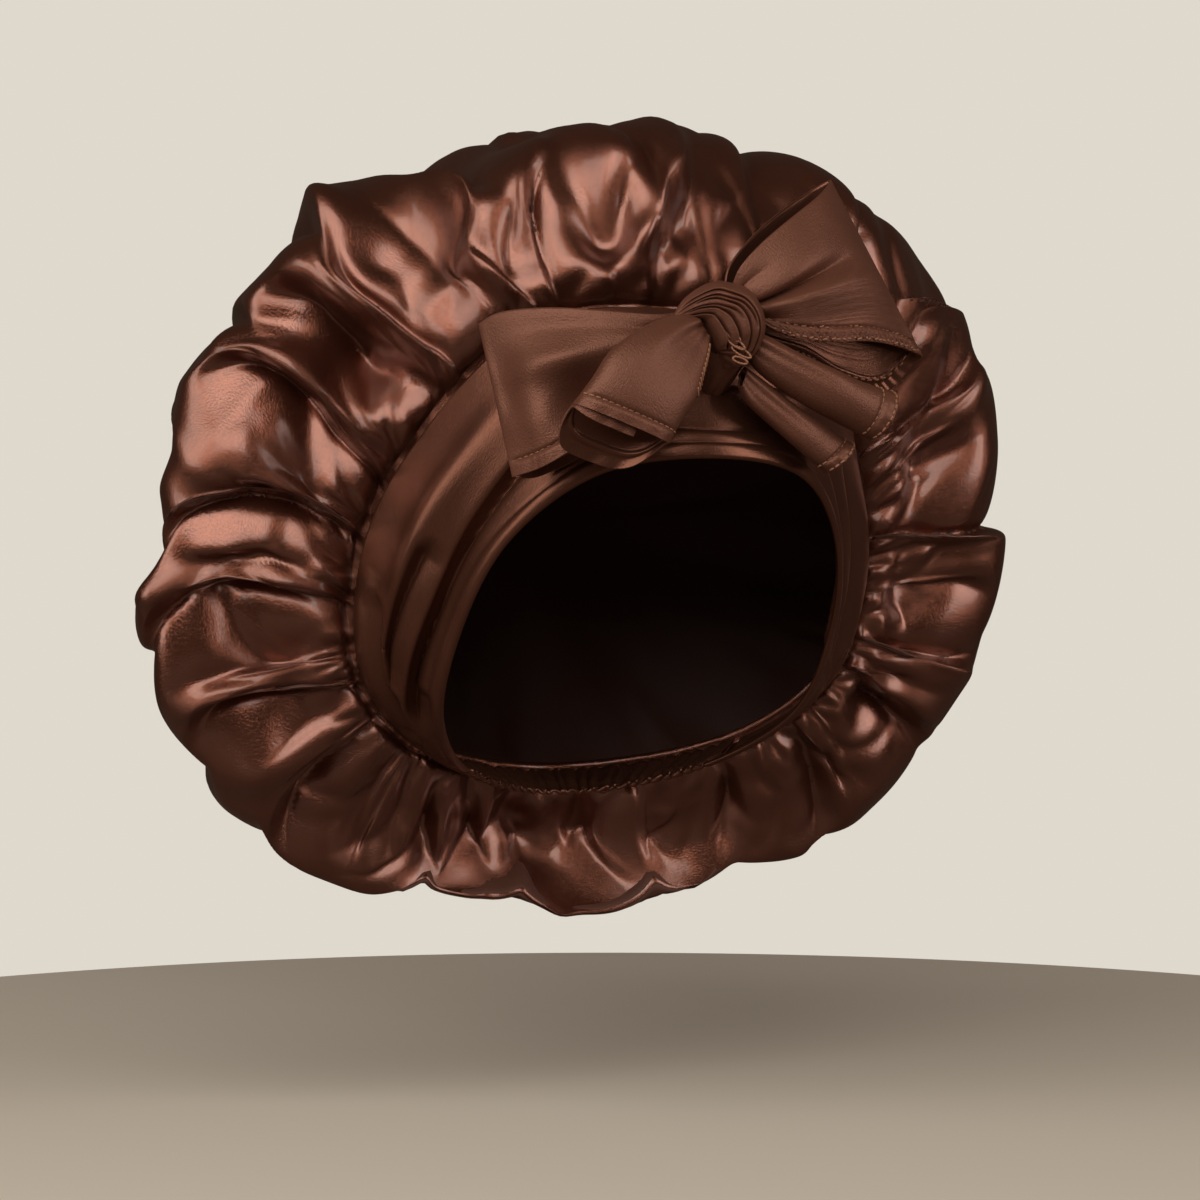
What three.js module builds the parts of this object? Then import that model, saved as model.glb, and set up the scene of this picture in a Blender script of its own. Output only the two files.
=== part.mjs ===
// A large satin sleep bonnet with a tied bow, as it stands when it is worn.
// Millimetres, +Z up, the wearer faces -Y. The origin is the middle of the opening for the head.
// Clock angles are in degrees: 0 is over the forehead, 90 at the wearer's right, 180 at the nape.
import * as THREE from 'three';

const satin = { color: 0x4a2219, roughness: 0.34, metalness: 0.15 };
const matteSide = { color: 0x5a3629, roughness: 0.62, metalness: 0 };

const crownWall = 1.5;
const bandWall = 1.6;
const edgeCasing = 1.2; // how much thicker the band is along the edge at the face
const ribbonWall = 1.3;
const sewingGap = 0.5; // left open between two pieces that are sewn together
const crownSetOff = 2.1; // from the seam line to the crown's edge

// Where the crown is gathered onto the band
const seamLine = [
  { angle: 0, x: 0, y: -66, z: 116 },
  { angle: 30, x: -58, y: -52, z: 110 },
  { angle: 60, x: -93, y: -8, z: 64 },
  { angle: 90, x: -106, y: 14, z: 22 },
  { angle: 120, x: -100, y: 31, z: -22 },
  { angle: 150, x: -65, y: 61, z: -52 },
  { angle: 180, x: 0, y: 92, z: -64 },
];

// The edge of the opening, which lies on the forehead, in front of the ears and on the nape
const openingLine = [
  { angle: 0, x: 0, y: -86, z: 60 },
  { angle: 30, x: -40, y: -74, z: 54 },
  { angle: 60, x: -66, y: -48, z: 30 },
  { angle: 90, x: -76, y: -20, z: -4 },
  { angle: 120, x: -73, y: 12, z: -38 },
  { angle: 150, x: -46, y: 55, z: -62 },
  { angle: 180, x: 0, y: 80, z: -72 },
];

// The widest line of the puffed crown: its reach from the middle line, and how far back it lies
const crownMiddle = { x: 0, z: 47 };
const widestLine = [
  { angle: 4, reach: 154, y: 22 },
  { angle: 18, reach: 153, y: 22 },
  { angle: 38, reach: 163, y: 23 },
  { angle: 60, reach: 172, y: 26 },
  { angle: 70, reach: 178, y: 29 },
  { angle: 88, reach: 175, y: 34 },
  { angle: 103, reach: 190, y: 44 },
  { angle: 121, reach: 192, y: 62 },
  { angle: 134, reach: 192, y: 70 },
  { angle: 149, reach: 182, y: 78 },
  { angle: 165, reach: 169, y: 82 },
  { angle: 186, reach: 168, y: 83 },
  { angle: 206, reach: 174, y: 82 },
  { angle: 220, reach: 188, y: 76 },
  { angle: 237, reach: 186, y: 66 },
  { angle: 256, reach: 185, y: 46 },
  { angle: 276, reach: 178, y: 32 },
  { angle: 295, reach: 178, y: 28 },
  { angle: 318, reach: 164, y: 24 },
  { angle: 340, reach: 151, y: 22 },
];
const crownBack = { y: 168, z: 42 };
const frontBulge = 12; // how far the crown puffs forward between the seam and its widest line
const napeSag = 20; // how much less it does so at the nape, where it hangs behind the seam
const frontShare = 0.4; // share of the way from the seam to the back that ends at the widest line

// Valleys between the puffs: where each leaves the seam and crosses the widest line, its depth
// and width, and the share of the back that it reaches
const folds = [
  { seam: 31, rim: 26, deep: 20, wide: 15, back: 0.8 },
  { seam: 43, rim: 39, deep: 7, wide: 6, back: 0.1 },
  { seam: 51, rim: 53, deep: 20, wide: 12, back: 0.6 },
  { seam: 70, rim: 67, deep: 17, wide: 9, back: 0.7 },
  { seam: 78, rim: 82, deep: 8, wide: 9, back: 0.4 },
  { seam: 88, rim: 98, deep: 19, wide: 9, back: 0.8 },
  { seam: 105, rim: 109, deep: 14, wide: 8, back: 0.6 },
  { seam: 124, rim: 122, deep: 12, wide: 11, back: 0.5 },
  { seam: 135, rim: 144, deep: 16, wide: 12, back: 0.8 },
  { seam: 151, rim: 157, deep: 18, wide: 10, back: 0.7 },
  { seam: 168, rim: 174, deep: 12, wide: 12, back: 0.8 },
  { seam: 190, rim: 195, deep: 14, wide: 12, back: 0.7 },
  { seam: 215, rim: 214, deep: 15, wide: 11, back: 0.8 },
  { seam: 236, rim: 230, deep: 12, wide: 11, back: 0.6 },
  { seam: 250, rim: 246, deep: 14, wide: 11, back: 0.8 },
  { seam: 263, rim: 257, deep: 8, wide: 7, back: 0.3 },
  { seam: 279, rim: 267, deep: 21, wide: 10, back: 0.7 },
  { seam: 299, rim: 291, deep: 21, wide: 12, back: 0.8 },
  { seam: 312, rim: 307, deep: 11, wide: 11, back: 0.6 },
  { seam: 330, rim: 328, deep: 19, wide: 13, back: 0.8 },
  { seam: 345, rim: 341, deep: 9, wide: 9, back: 0.4 },
  { seam: 357, rim: 354, deep: 17, wide: 12, back: 0.8 },
  { seam: 16, rim: 12, deep: 10, wide: 8, back: 0.3 },
];

// Lengthwise folds in the band: how far across they lie, how deep and how wide they are
const bandFolds = [
  { across: 0.35, deep: 1.6, wide: 0.12 },
  { across: 0.62, deep: 1.2, wide: 0.1 },
];
const bandBulge = 5;
const bandEnd = 146;
const nape = { from: 147.5, pleats: 12, ruffle: 1.1, wall: 2 };

// The bow, measured from the middle of its knot
const knotPlace = { x: 3, y: -87, z: 108 };
const knot = { halfWidth: 13, halfDepth: 10, halfHeight: 15, pleats: 8, pleat: 0.9, lean: 0.6 };

// A loop's ribbon: its upper and lower edge from the knot out to the fold, how far its middle
// bellies forward, and the room between its two layers
const leftLoop = [
  { topX: -15.5, topY: 0, topZ: 6, lowX: -15, lowY: -1, lowZ: -8, belly: 1, room: 5 },
  { topX: -33, topY: -1, topZ: 4, lowX: -33, lowY: -3, lowZ: -24, belly: 2, room: 9 },
  { topX: -50, topY: 6, topZ: 4, lowX: -49, lowY: 2, lowZ: -41, belly: 2, room: 12 },
  { topX: -67, topY: 18, topZ: 5, lowX: -62, lowY: 11, lowZ: -49, belly: 4, room: 13 },
  { topX: -82, topY: 33, topZ: 1, lowX: -71, lowY: 24, lowZ: -54, belly: 4, room: 4 },
];
const rightLoop = [
  { topX: 8, topY: 2, topZ: 17, lowX: 16, lowY: 0, lowZ: 3, belly: 1, room: 5 },
  { topX: 19, topY: 2, topZ: 34, lowX: 28, lowY: 0, lowZ: 0, belly: 3, room: 12 },
  { topX: 35, topY: 8, topZ: 48, lowX: 46, lowY: 4, lowZ: -1, belly: 5, room: 18 },
  { topX: 52, topY: 18, topZ: 56, lowX: 67, lowY: 12, lowZ: -1, belly: 5, room: 16 },
  { topX: 68, topY: 25, topZ: 37, lowX: 85, lowY: 21, lowZ: -4, belly: 3, room: 4 },
];

// A tail is rolled into a flat tube: the ends of its cross line, and half its thickness there
const leftTail = [
  { topX: -16, topY: -11, topZ: 1, lowX: -16, lowY: -11, lowZ: -10, half: 3.5 },
  { topX: -32, topY: -21, topZ: -3, lowX: -21, lowY: -21, lowZ: -25, half: 6 },
  { topX: -49, topY: -21, topZ: -17, lowX: -27, lowY: -21, lowZ: -37, half: 7 },
  { topX: -60, topY: -14, topZ: -31, lowX: -34, lowY: -18, lowZ: -46, half: 7.5 },
];
const upperTail = [
  { topX: 14, topY: -8, topZ: -4, lowX: 12, lowY: -8, lowZ: -13, half: 4 },
  { topX: 33, topY: -8, topZ: -12, lowX: 29, lowY: -8, lowZ: -27, half: 6 },
  { topX: 49, topY: -6, topZ: -18, lowX: 43, lowY: -6, lowZ: -34, half: 7 },
  { topX: 65, topY: -4, topZ: -22, lowX: 57, lowY: -4, lowZ: -40, half: 7 },
];
const lowerTail = [
  { topX: 6, topY: -5, topZ: -18, lowX: 4, lowY: -6, lowZ: -25, half: 3 },
  { topX: 21, topY: -2, topZ: -30, lowX: 14, lowY: -4, lowZ: -38, half: 4 },
  { topX: 36, topY: 1, topZ: -37, lowX: 29, lowY: 0, lowZ: -47, half: 4.5 },
  { topX: 49, topY: 5, topZ: -44, lowX: 40, lowY: 4, lowZ: -53, half: 5 },
];

// How finely each kind of sheet is divided
const crownGrid = { around: 96, out: 16 };
const bandGrid = { along: 58, across: 6 };
const napeGrid = { along: 40, across: 3 };
const loopGrid = { along: 10, across: 6 };
const tailGrid = { along: 7, around: 14 };
const knotGrid = { around: 32, up: 12 };

const radians = THREE.MathUtils.degToRad;
const mix = THREE.MathUtils.lerp;

// Value of one column at an angle, on a smooth curve through all the rows of a closed table
function around(rows, column, angle) {
  const turn = 360;
  const wrapped = ((angle - rows[0].angle) % turn + turn) % turn + rows[0].angle;
  let i = rows.length - 1;
  while (rows[i].angle > wrapped) i -= 1;
  const row = (k) => {
    const index = (k + rows.length) % rows.length;
    const laps = Math.floor(k / rows.length);
    return { at: rows[index].angle + laps * turn, value: rows[index][column] };
  };
  const [before, from, to, after] = [row(i - 1), row(i), row(i + 1), row(i + 2)];
  const span = to.at - from.at;
  const t = (wrapped - from.at) / span;
  const slopeFrom = (to.value - before.value) / (to.at - before.at) * span;
  const slopeTo = (after.value - from.value) / (after.at - from.at) * span;
  return hermite(from.value, to.value, slopeFrom, slopeTo, t);
}

function hermite(from, to, slopeFrom, slopeTo, t) {
  const a = 2 * from - 2 * to + slopeFrom + slopeTo;
  const b = -3 * from + 3 * to - 2 * slopeFrom - slopeTo;
  return ((a * t + b) * t + slopeFrom) * t + from;
}

// Value of one column part of the way down an open table, on a smooth curve through its rows
function along(rows, column, share) {
  const place = share * (rows.length - 1);
  const i = Math.min(Math.floor(place), rows.length - 2);
  const value = (k) => rows[Math.max(0, Math.min(rows.length - 1, k))][column];
  const slopeFrom = (value(i + 1) - value(i - 1)) / 2;
  const slopeTo = (value(i + 2) - value(i)) / 2;
  return hermite(value(i), value(i + 1), slopeFrom, slopeTo, place - i);
}

// The other half of a line that is the same on both sides of the head
function bothSides(rows) {
  const mirrored = rows.slice(1, -1).reverse().map((r) => ({ ...r, angle: 360 - r.angle, x: -r.x }));
  return [...rows, ...mirrored];
}

const seamRows = bothSides(seamLine);
const openingRows = bothSides(openingLine);

function pointOn(rows, angle) {
  return new THREE.Vector3(around(rows, 'x', angle), around(rows, 'y', angle), around(rows, 'z', angle));
}

function outward(angle) {
  return new THREE.Vector3(-Math.sin(radians(angle)), 0, Math.cos(radians(angle)));
}

function angleBetween(a, b) {
  return Math.abs(((a - b + 540) % 360) - 180);
}

// How far a fold pushes the crown in: a sharp valley with rounded shoulders
function valley(distance, width) {
  const sharpness = 0.12;
  const near = Math.min(1, Math.hypot(distance / width, sharpness));
  return (1 - near) ** 2;
}

function foldDepth(angle, share) {
  const front = Math.min(1, share / frontShare);
  const behind = Math.max(0, (share - frontShare) / (1 - frontShare));
  let depth = 0;
  for (const fold of folds) {
    const turnBy = ((fold.rim - fold.seam + 540) % 360) - 180;
    const centre = fold.seam + turnBy * front;
    const rise = Math.sin(Math.min(1, front * 1.6) * Math.PI / 2);
    const fade = Math.max(0, 1 - behind / fold.back);
    depth += fold.deep * rise * fade * valley(angleBetween(angle, centre), fold.wide * (0.75 + 0.25 * front));
  }
  return depth;
}

// A point of the crown, from the seam (share 0) over the widest line to the back (share 1)
function crownPoint(angle, share) {
  const seam = pointOn(seamRows, angle).addScaledVector(outward(angle), crownSetOff);
  const rim = outward(angle).multiplyScalar(around(widestLine, 'reach', angle));
  rim.x += crownMiddle.x;
  rim.z += crownMiddle.z;
  rim.y = around(widestLine, 'y', angle);
  const point = new THREE.Vector3();
  const facing = new THREE.Vector3();
  if (share <= frontShare) {
    const quarter = share / frontShare * Math.PI / 2;
    point.lerpVectors(seam, rim, Math.sin(quarter));
    const low = (1 - Math.cos(radians(angle))) / 2;
    const bulge = frontBulge - napeSag * low ** 3;
    point.y = mix(seam.y, rim.y, 1 - Math.cos(quarter)) - bulge * Math.sin(2 * quarter);
    facing.copy(outward(angle)).multiplyScalar(Math.sin(quarter));
    facing.y = -Math.cos(quarter);
  } else {
    const quarter = (share - frontShare) / (1 - frontShare) * Math.PI / 2;
    const shrink = Math.cos(quarter) ** 0.9;
    point.x = mix(crownMiddle.x, rim.x, shrink);
    point.z = mix(mix(crownMiddle.z, crownBack.z, Math.sin(quarter)), rim.z, shrink);
    point.y = mix(rim.y, crownBack.y, Math.sin(quarter));
    facing.copy(outward(angle)).multiplyScalar(Math.cos(quarter));
    facing.y = Math.sin(quarter);
  }
  return point.addScaledVector(facing, -foldDepth(angle, share));
}

// A point of the band, from its opening edge (share 0) to the seam (share 1)
function bandPoint(angle, share) {
  const edge = pointOn(openingRows, angle);
  const seam = pointOn(seamRows, angle);
  const inset = sewingGap / edge.distanceTo(seam);
  const reach = share * (1 - inset);
  const point = edge.clone().lerp(seam, reach);
  const facing = outward(angle).add(new THREE.Vector3(0, -0.6, 0)).normalize();
  const narrow = Math.abs(Math.cos(radians(angle / 2))) ** 0.5;
  let height = bandBulge * narrow * Math.sin(Math.PI * reach);
  for (const fold of bandFolds) {
    height -= fold.deep * narrow * valley(reach - fold.across, fold.wide);
  }
  return point.addScaledVector(facing, height);
}

// A point of the narrow casing at the nape, whose elastic ruffles it
function napePoint(angle, share) {
  const point = bandPoint(angle, share);
  const turn = (angle - nape.from) / (360 - 2 * nape.from) * nape.pleats * 2 * Math.PI;
  const away = outward(angle);
  return point.addScaledVector(away, -nape.ruffle * (1 + Math.cos(turn)));
}

// Points of a sheet in rows; the normals come from the neighbours in both directions
function sheetNormals(sheet, ring) {
  const rows = sheet.length;
  const columns = sheet[0].length;
  return sheet.map((line, i) => line.map((_, j) => {
    const next = ring ? (i + 1) % rows : Math.min(i + 1, rows - 1);
    const last = ring ? (i + rows - 1) % rows : Math.max(i - 1, 0);
    const up = Math.min(j + 1, columns - 1);
    const down = Math.max(j - 1, 0);
    const acrossRows = sheet[next][j].clone().sub(sheet[last][j]);
    const acrossColumns = sheet[i][up].clone().sub(sheet[i][down]);
    return acrossRows.cross(acrossColumns).normalize();
  }));
}

// Triangles collected from quads over numbered corners, made to face out by their volume
function closedBody(points, quads) {
  const triangles = [];
  for (const quad of quads) {
    for (let k = 1; k + 1 < quad.length; k += 1) triangles.push([quad[0], quad[k], quad[k + 1]]);
  }
  let volume = 0;
  for (const [a, b, c] of triangles) {
    volume += points[a].dot(points[b].clone().cross(points[c]));
  }
  const geometry = new THREE.BufferGeometry();
  geometry.setAttribute('position', new THREE.Float32BufferAttribute(points.flatMap((p) => p.toArray()), 3));
  geometry.setIndex(triangles.flatMap(([a, b, c]) => (volume > 0 ? [a, b, c] : [a, c, b])));
  geometry.computeVertexNormals();
  return geometry;
}

// A wall of cloth on both sides of a sheet, closed along its edges
function clothWall(sheet, wall, { ring = false, pole = null } = {}) {
  const rows = sheet.length;
  const columns = sheet[0].length;
  const normals = sheetNormals(sheet, ring);
  const half = (i, j) => (typeof wall === 'function' ? wall(i, j) : wall) / 2;
  const side = (sign) => sheet.flatMap((line, i) => line.map(
    (point, j) => point.clone().addScaledVector(normals[i][j], sign * half(i, j))));
  const points = [...side(1), ...side(-1)];
  const front = (i, j) => (i % rows) * columns + j;
  const rear = (i, j) => rows * columns + front(i, j);
  const quads = [];
  const lastRow = ring ? rows : rows - 1;
  for (let i = 0; i < lastRow; i += 1) {
    for (let j = 0; j < columns - 1; j += 1) {
      quads.push([front(i, j), front(i + 1, j), front(i + 1, j + 1), front(i, j + 1)]);
      quads.push([rear(i, j), rear(i, j + 1), rear(i + 1, j + 1), rear(i + 1, j)]);
    }
    quads.push([front(i, 0), rear(i, 0), rear(i + 1, 0), front(i + 1, 0)]);
    if (!pole) {
      const j = columns - 1;
      quads.push([front(i, j), front(i + 1, j), rear(i + 1, j), rear(i, j)]);
    }
  }
  if (pole) {
    const j = columns - 1;
    const side0 = sheet[0][j].clone().addScaledVector(normals[0][j], 1);
    const away = Math.sign(side0.sub(sheet[0][j]).y) * half(0, j);
    points.push(pole.clone().add(new THREE.Vector3(0, away, 0)));
    points.push(pole.clone().add(new THREE.Vector3(0, -away, 0)));
    for (let i = 0; i < rows; i += 1) {
      quads.push([front(i, j), front(i + 1, j), points.length - 2]);
      quads.push([rear(i + 1, j), rear(i, j), points.length - 1]);
    }
  }
  if (!ring) {
    for (let j = 0; j < columns - 1; j += 1) {
      quads.push([front(0, j), front(0, j + 1), rear(0, j + 1), rear(0, j)]);
      quads.push([front(rows - 1, j), rear(rows - 1, j), rear(rows - 1, j + 1), front(rows - 1, j + 1)]);
    }
  }
  return closedBody(points, quads);
}

function steps(count, from, to) {
  return Array.from({ length: count + 1 }, (_, k) => mix(from, to, k / count));
}

function mesh(name, geometry, finish) {
  const piece = new THREE.Mesh(geometry, new THREE.MeshStandardMaterial(finish));
  piece.name = name;
  return piece;
}

function crown() {
  const angles = steps(crownGrid.around, 0, 360).slice(0, -1);
  const shares = steps(crownGrid.out, 0, 1).slice(0, -1);
  const sheet = angles.map((angle) => shares.map((share) => crownPoint(angle, share)));
  const pole = new THREE.Vector3(crownMiddle.x, crownBack.y, crownBack.z);
  return mesh('crown', clothWall(sheet, crownWall, { ring: true, pole }), satin);
}

function band() {
  const angles = steps(bandGrid.along, -bandEnd, bandEnd);
  const shares = steps(bandGrid.across, 0, 1);
  const sheet = angles.map((angle) => shares.map((share) => bandPoint(angle, share)));
  const wall = (i, j) => bandWall + (j < 2 ? edgeCasing : 0);
  return mesh('band', clothWall(sheet, wall), matteSide);
}

function napeCasing() {
  const angles = steps(napeGrid.along, nape.from, 360 - nape.from);
  const shares = steps(napeGrid.across, 0, 1);
  const sheet = angles.map((angle) => shares.map((share) => napePoint(angle, share)));
  return mesh('nape_casing', clothWall(sheet, nape.wall), matteSide);
}

// The front layer runs from the knot to the fold, and the back layer returns to the knot
function loop(name, rows, facing) {
  const shares = steps(loopGrid.across, 0, 1);
  const layer = (side) => steps(loopGrid.along, 0, 1).map((share) => shares.map((down) => {
    const value = (column) => along(rows, column, share);
    const top = new THREE.Vector3(value('topX'), value('topY'), value('topZ'));
    const low = new THREE.Vector3(value('lowX'), value('lowY'), value('lowZ'));
    const belly = value('belly') * Math.sin(Math.PI * down) + side * value('room') / 2;
    return top.lerp(low, down).addScaledVector(facing, belly);
  }));
  const front = layer(1);
  const back = layer(-1).reverse();
  const tip = front[front.length - 1].map((point, j) => {
    const outwards = point.clone().sub(front[front.length - 2][j]).normalize();
    return point.clone().add(back[0][j]).multiplyScalar(0.5).addScaledVector(outwards, 2);
  });
  return mesh(name, clothWall([...front, tip, ...back], ribbonWall), matteSide);
}

// A flat tube, open at its far end as the rolled cloth is
function tail(name, rows, facing) {
  const turns = steps(tailGrid.around, 0, 2 * Math.PI).slice(0, -1);
  const sections = steps(tailGrid.along, 0, 1);
  const sheet = turns.map((turn) => sections.map((share) => {
    const value = (column) => along(rows, column, share);
    const top = new THREE.Vector3(value('topX'), value('topY'), value('topZ'));
    const low = new THREE.Vector3(value('lowX'), value('lowY'), value('lowZ'));
    const point = top.lerp(low, (1 - Math.cos(turn)) / 2);
    return point.addScaledVector(facing, value('half') * Math.sin(turn));
  }));
  return mesh(name, clothWall(sheet, ribbonWall, { ring: true }), matteSide);
}

// The knot is one lump of wound cloth, with pleats that lean across it
function knotBody() {
  const points = [];
  const quads = [];
  const levels = steps(knotGrid.up, -Math.PI / 2, Math.PI / 2).slice(1, -1);
  for (const level of levels) {
    for (const turn of steps(knotGrid.around, 0, 2 * Math.PI).slice(0, -1)) {
      const pleat = 1 + knot.pleat / knot.halfWidth * Math.cos(knot.pleats * (turn + knot.lean * level));
      const ring = Math.cos(level) ** 0.7 * pleat;
      const x = knot.halfWidth * ring * Math.cos(turn);
      const y = knot.halfDepth * ring * Math.sin(turn);
      points.push(new THREE.Vector3(x, y, knot.halfHeight * Math.sin(level)));
    }
  }
  const corner = (level, turn) => level * knotGrid.around + (turn % knotGrid.around);
  points.push(new THREE.Vector3(0, 0, -knot.halfHeight), new THREE.Vector3(0, 0, knot.halfHeight));
  for (let turn = 0; turn < knotGrid.around; turn += 1) {
    for (let level = 0; level < levels.length - 1; level += 1) {
      quads.push([corner(level, turn), corner(level, turn + 1),
        corner(level + 1, turn + 1), corner(level + 1, turn)]);
    }
    quads.push([corner(0, turn + 1), corner(0, turn), points.length - 2]);
    quads.push([corner(levels.length - 1, turn), corner(levels.length - 1, turn + 1), points.length - 1]);
  }
  return mesh('knot', closedBody(points, quads), matteSide);
}

function bow() {
  const group = new THREE.Group();
  group.position.set(knotPlace.x, knotPlace.y, knotPlace.z);
  const leftFacing = new THREE.Vector3(-0.35, -0.94, 0).normalize();
  const rightFacing = new THREE.Vector3(0.2, -0.98, 0).normalize();
  const forwards = new THREE.Vector3(0, -1, 0);
  group.add(knotBody());
  group.add(loop('left_loop', leftLoop, leftFacing));
  group.add(loop('right_loop', rightLoop, rightFacing));
  group.add(tail('left_tail', leftTail, forwards));
  group.add(tail('right_tail_upper', upperTail, forwards));
  group.add(tail('right_tail_lower', lowerTail, forwards));
  return group;
}

const bonnet = new THREE.Group();
bonnet.add(crown(), band(), napeCasing(), bow());

export default bonnet;
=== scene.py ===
# A large satin sleep bonnet with a tied bow, dressed over its solid frame.
# Tables are in millimetres and degrees, and mm turns them into metres. The wearer faces -Y.
# Clock angles: 0 is over the forehead, 90 at the wearer's right, 180 at the nape.
import math
import random

import bpy
import numpy as np
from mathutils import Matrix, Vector


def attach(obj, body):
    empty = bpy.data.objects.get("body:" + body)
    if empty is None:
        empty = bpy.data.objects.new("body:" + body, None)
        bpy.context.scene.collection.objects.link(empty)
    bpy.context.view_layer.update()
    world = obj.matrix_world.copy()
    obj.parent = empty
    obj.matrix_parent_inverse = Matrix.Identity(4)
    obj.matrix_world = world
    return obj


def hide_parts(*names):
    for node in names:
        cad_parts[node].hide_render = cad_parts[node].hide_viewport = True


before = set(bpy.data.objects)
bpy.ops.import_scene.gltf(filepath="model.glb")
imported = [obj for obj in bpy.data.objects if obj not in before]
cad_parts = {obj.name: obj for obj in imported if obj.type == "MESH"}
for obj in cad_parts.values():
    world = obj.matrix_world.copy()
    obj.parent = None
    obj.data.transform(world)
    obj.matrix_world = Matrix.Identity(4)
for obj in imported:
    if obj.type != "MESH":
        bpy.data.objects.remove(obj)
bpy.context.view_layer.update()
mm = 0.001
print("frame loaded")


# Tables and smooth curves through them

def table(names, *rows):
    return dict(zip(names.split(), np.array(rows, dtype=float).T))


def path(*points):
    return table("x y z", *points)


def eachRow(columns):
    return zip(*columns.values())


def hermite(start, end, slopeStart, slopeEnd, t):
    a = 2 * start - 2 * end + slopeStart + slopeEnd
    b = -3 * start + 3 * end - 2 * slopeStart - slopeEnd
    return ((a * t + b) * t + slopeStart) * t + start


def aroundTable(rows, column, angle):
    at, value = rows["angle"], rows[column]
    count = len(at)
    wrapped = (angle - at[0]) % 360 + at[0]
    i = np.searchsorted(at, wrapped, side="right") - 1

    def row(k):
        return at[k % count] + 360 * np.floor_divide(k, count), value[k % count]

    (a0, v0), (a1, v1), (a2, v2), (a3, v3) = row(i - 1), row(i), row(i + 1), row(i + 2)
    span = a2 - a1
    slopeStart, slopeEnd = (v2 - v0) / (a2 - a0) * span, (v3 - v1) / (a3 - a1) * span
    return hermite(v1, v2, slopeStart, slopeEnd, (wrapped - a1) / span)


def alongTable(rows, column, share):
    value = rows[column]
    place = np.clip(share, 0, 1) * (len(value) - 1)
    i = np.minimum(np.floor(place).astype(int), len(value) - 2)

    def row(k):
        return value[np.clip(k, 0, len(value) - 1)]

    slopeStart, slopeEnd = (row(i + 1) - row(i - 1)) / 2, (row(i + 2) - row(i)) / 2
    return hermite(row(i), row(i + 1), slopeStart, slopeEnd, place - i)


def placeAlong(rows, share):
    return np.stack([alongTable(rows, axis, share) for axis in "xyz"], -1)


# A line given for the wearer's right side only, with its mirror image
def bothSides(rows):
    flip = slice(-2, 0, -1)
    return {
        "angle": np.concatenate([rows["angle"], 360 - rows["angle"][flip]]),
        "x": np.concatenate([rows["x"], -rows["x"][flip]]),
        "y": np.concatenate([rows["y"], rows["y"][flip]]),
        "z": np.concatenate([rows["z"], rows["z"][flip]]),
    }


def pointOn(rows, angle):
    return np.stack([aroundTable(rows, axis, angle) for axis in "xyz"], -1)


def outward(angle):
    turn = np.radians(angle)
    return np.stack([-np.sin(turn), 0 * turn, np.cos(turn)], -1)


def unit(vectors):
    return vectors / np.maximum(np.linalg.norm(vectors, axis=-1, keepdims=True), 1e-9)


def smooth(value, low, high):
    t = np.clip((value - low) / (high - low), 0, 1)
    return t * t * (3 - 2 * t)


# A bump of height 1 that falls away on both sides
def bell(distance, wide, power=2):
    return np.exp(-np.abs(distance / wide) ** power)


def grid(first, second):
    return np.meshgrid(first, second, indexing="ij")


def angleFrom(angle, centre):
    return (angle - centre + 180) % 360 - 180


# Depth across a fold: steep on the side whose cloth laps over it, which the sign of lean tells, and
# a soft hollow on the other
def foldSection(distance, sharp, soft, lean):
    lapped = min(abs(lean), 1)
    steep = soft + (1.5 * sharp - soft) * lapped
    wide = np.where(distance * lean > 0, steep, soft)
    return 0.3 * bell(distance, sharp, 1.3) + 0.7 * bell(distance, wide, 1.5)


# Sheets of cloth

def ringNormals(points):
    across = np.roll(points, -1, 0) - np.roll(points, 1, 0)
    return unit(np.cross(across, np.gradient(points, axis=1)))


def newPiece(name, vertices, faces, uvs):
    mesh = bpy.data.meshes.new(name)
    mesh.from_pydata([tuple(v) for v in vertices * mm], [], faces)
    piece = bpy.data.objects.new(name, mesh)
    bpy.context.scene.collection.objects.link(piece)
    layer = mesh.uv_layers.new(name="cloth")
    corners = np.empty(len(mesh.loops), dtype=np.int32)
    mesh.loops.foreach_get("vertex_index", corners)
    layer.data.foreach_set("uv", (uvs * mm)[corners].astype(np.float32).ravel())
    mesh.shade_smooth()
    return piece


def gridFaces(rows, columns, ring=False, start=0, flip=False):
    faces = []
    for i in range(rows if ring else rows - 1):
        for j in range(columns - 1):
            a = start + i * columns + j
            b = start + (i + 1) % rows * columns + j
            face = (a, b, b + 1, a + 1)
            faces.append(face[::-1] if flip else face)
    return faces


# Where each point lies on the flat cloth, for the weave
def flatPlaces(points):
    down = np.linalg.norm(np.diff(points, axis=1, prepend=points[:, :1]), axis=-1).cumsum(1)
    across = np.linalg.norm(np.diff(points, axis=0, prepend=points[:1]), axis=-1).cumsum(0)
    return np.stack([across, down], -1)


def alone(piece):
    bpy.ops.object.select_all(action="DESELECT")
    piece.select_set(True)
    bpy.context.view_layer.objects.active = piece


def applyAll(piece):
    alone(piece)
    for modifier in list(piece.modifiers):
        bpy.ops.object.modifier_apply(modifier=modifier.name)


# A sheet with a wall; its back gets a material of its own where backMaterial is true
def clothPiece(name, points, wall, backMaterial=False, flip=False):
    rows, columns = points.shape[:2]
    uvs = flatPlaces(points).reshape(-1, 2)
    piece = newPiece(name, points.reshape(-1, 3), gridFaces(rows, columns, flip=flip), uvs)
    solid = piece.modifiers.new("wall", "SOLIDIFY")
    solid.thickness = wall * mm
    solid.offset = 0
    solid.use_even_offset = False
    if backMaterial:
        for _ in range(2):
            piece.data.materials.append(None)
        solid.material_offset = 1
    applyAll(piece)
    piece.data.shade_smooth()
    return piece


# The frame's own curves, as the solids have them

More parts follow.
